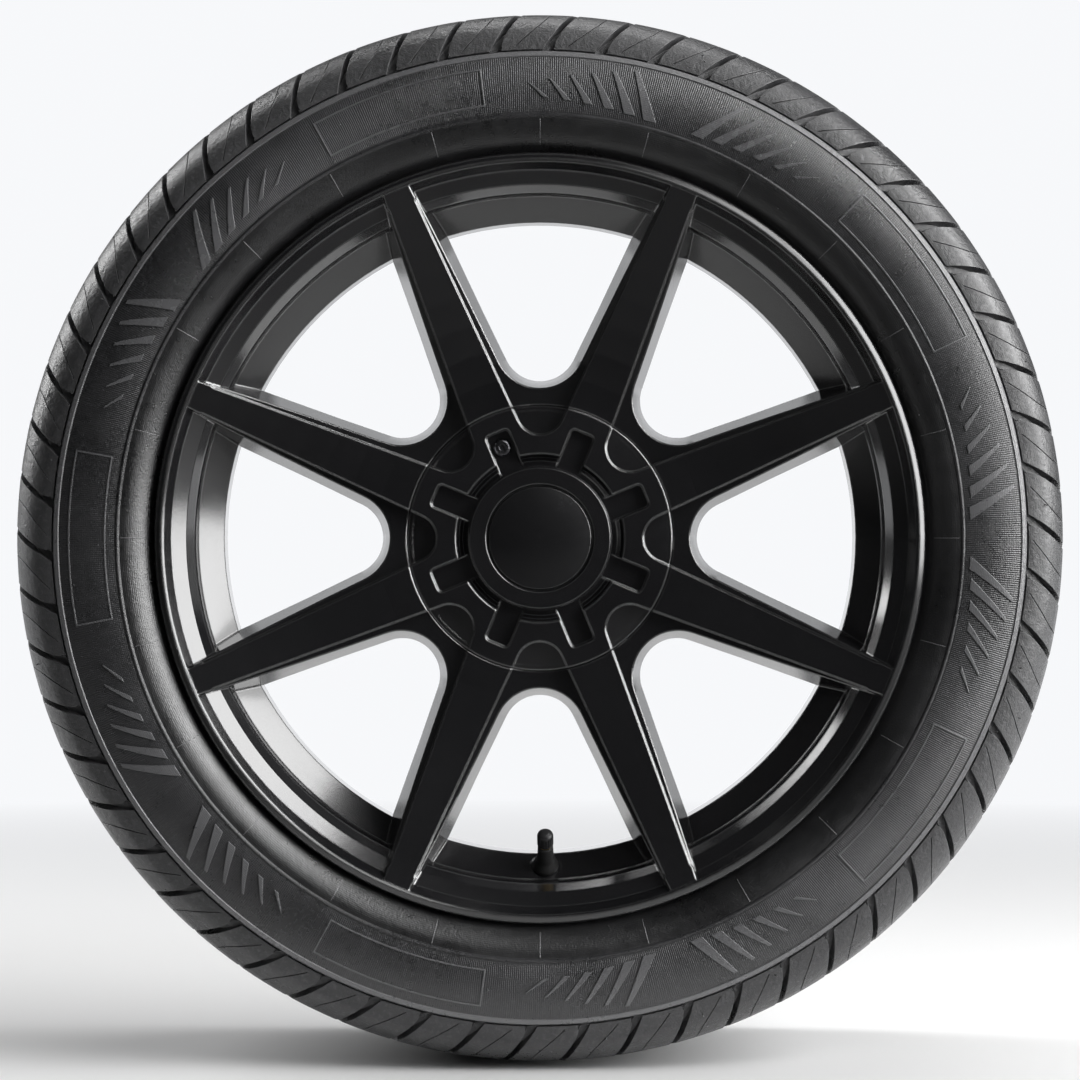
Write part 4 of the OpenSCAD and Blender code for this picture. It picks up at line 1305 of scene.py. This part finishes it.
def floor_material(look):
    """Pale matte floor that runs into the white of the background; its front is painted dark as painted
    shade, seen in reflections and bounce light, while the camera sees white there.
    """
    material, tree, shader = new_material("floor_matte")
    shader.inputs["Roughness"].default_value = 0.9
    place = object_place(tree)
    xyz = shade(tree, "SeparateXYZ", place).outputs
    front = ramp(tree, xyz[1], *FLOOR_SHADED_FRONT)
    tone = ramp(tree, noise(tree, place, 3.0, 3.0), 0.3, 0.7, 0.0, 0.06)
    pale = blend_colours(tree, tone, colour(look.floor), colour(look.floor, 0.9))
    # painted shade: the floor's front is dark, so the wheel reflects a dim room
    join(tree, blend_colours(tree, front, pale, colour(look.floor, FRONT_SHADE_TONE)), shader.inputs["Base Color"])
    squares = [calc(tree, "POWER", xyz[k], 2.0) for k in (0, 1)]
    far = ramp(tree, calc(tree, "SQRT", plus(tree, *squares)), *FLOOR_FADE)
    rays = tree.nodes.new("ShaderNodeLightPath").outputs
    reflected = times(tree, rays["Is Glossy Ray"], far)
    reflected = times(tree, reflected, minus(tree, 1.0, front))
    shown = times(tree, seen_directly(tree, rays), calc(tree, "MAXIMUM", far, front))
    mix = tree.nodes.new("ShaderNodeMixShader")
    join(tree, calc(tree, "MAXIMUM", reflected, shown), mix.inputs[0])
    join(tree, shader.outputs[0], mix.inputs[1])
    join(tree, shade(tree, "Emission", PALE, 1.0).outputs[0], mix.inputs[2])
    join(tree, mix.outputs[0], tree.nodes["Material Output"].inputs["Surface"])
    return material


def studio(look):
    """World: white to the camera, and to the wheel dim in front, hazy at the sides, white straight back."""
    world = bpy.data.worlds.new("studio")
    world.use_nodes = True
    tree = world.node_tree
    ground = tree.nodes["Background"]
    ground.inputs["Color"].default_value = PALE
    seen = seen_directly(tree, tree.nodes.new("ShaderNodeLightPath").outputs)
    way = shade(tree, "SeparateXYZ", tree.nodes.new("ShaderNodeTexCoord").outputs["Generated"]).outputs
    sides = ramp(tree, way[1], *SIDES_BACK, look.room, look.haze)
    room = calc(tree, "MAXIMUM", sides, ramp(tree, way[1], *STRAIGHT_BACK, 0.0, BACK_LIGHT))
    unseen = minus(tree, 1.0, seen)
    join(tree, calc(tree, "MULTIPLY_ADD", unseen, room, seen), ground.inputs["Strength"])
    return world


class WHEEL_OT_stage(bpy.types.Operator):
    """Pale floor, soft lamps, pale world and the camera in front of the wheel"""

    bl_idname = "wheel.stage"
    bl_label = "Stage"

    def execute(self, context):
        scene = context.scene
        look = scene.stage_look
        deselect()
        bpy.ops.mesh.primitive_plane_add(size=FLOOR_SIZE, location=(0, 0, -TYRE_R * MM))
        floor = bpy.context.object
        settle(floor)
        floor.name = "floor"
        give(floor_material(look), "floor")
        scene.world = studio(look)
        for values in LAMPS:
            lamp(*values)

        deselect()
        bpy.ops.object.camera_add(location=(0, -look.distance, 0), rotation=(math.radians(90), 0, 0))
        camera = bpy.context.object
        camera.name = "photo_camera"
        camera.data.sensor_width = SENSOR
        camera.data.lens = LENS_PER_DISTANCE * look.distance
        camera.data.shift_y = SHIFT_PIXELS / FRAME_PIXELS
        camera.data.clip_start = 0.05
        scene.camera = camera
        scene.view_settings.view_transform = "Standard"
        return {"FINISHED"}


class WHEEL_PT_panel(bpy.types.Panel):
    """Sizes, colours and pieces of the wheel"""

    bl_idname = "WHEEL_PT_panel"
    bl_label = "Car wheel and tyre"
    bl_space_type = "VIEW_3D"
    bl_region_type = "UI"
    bl_category = "Wheel"

    def draw(self, context):
        scene = context.scene
        for look in (scene.tyre_look, scene.wheel_look, scene.stage_look):
            box = self.layout.box()
            for key in look.bl_rna.properties.keys():
                if key not in ("rna_type", "name"):
                    box.prop(look, key)
        for operator in OPERATORS:
            self.layout.operator(operator.bl_idname)


OPERATORS = (WHEEL_OT_tyre, WHEEL_OT_sidewall, WHEEL_OT_mould_lines, WHEEL_OT_core_coil, WHEEL_OT_finishes,
             WHEEL_OT_stage)
CLASSES = (TyreLook, WheelLook, StageLook) + OPERATORS + (WHEEL_PT_panel,)


def register():
    for cls in CLASSES:
        bpy.utils.register_class(cls)
    bpy.types.Scene.tyre_look = PointerProperty(type=TyreLook)
    bpy.types.Scene.wheel_look = PointerProperty(type=WheelLook)
    bpy.types.Scene.stage_look = PointerProperty(type=StageLook)


def unregister():
    del bpy.types.Scene.stage_look
    del bpy.types.Scene.wheel_look
    del bpy.types.Scene.tyre_look
    for cls in reversed(CLASSES):
        bpy.utils.unregister_class(cls)


def main():
    register()
    bpy.ops.wheel.tyre()
    bpy.ops.wheel.sidewall()
    bpy.ops.wheel.mould_lines()
    bpy.ops.wheel.core_coil()
    bpy.ops.wheel.finishes()
    bpy.ops.wheel.stage()


if __name__ == "__main__":
    main()
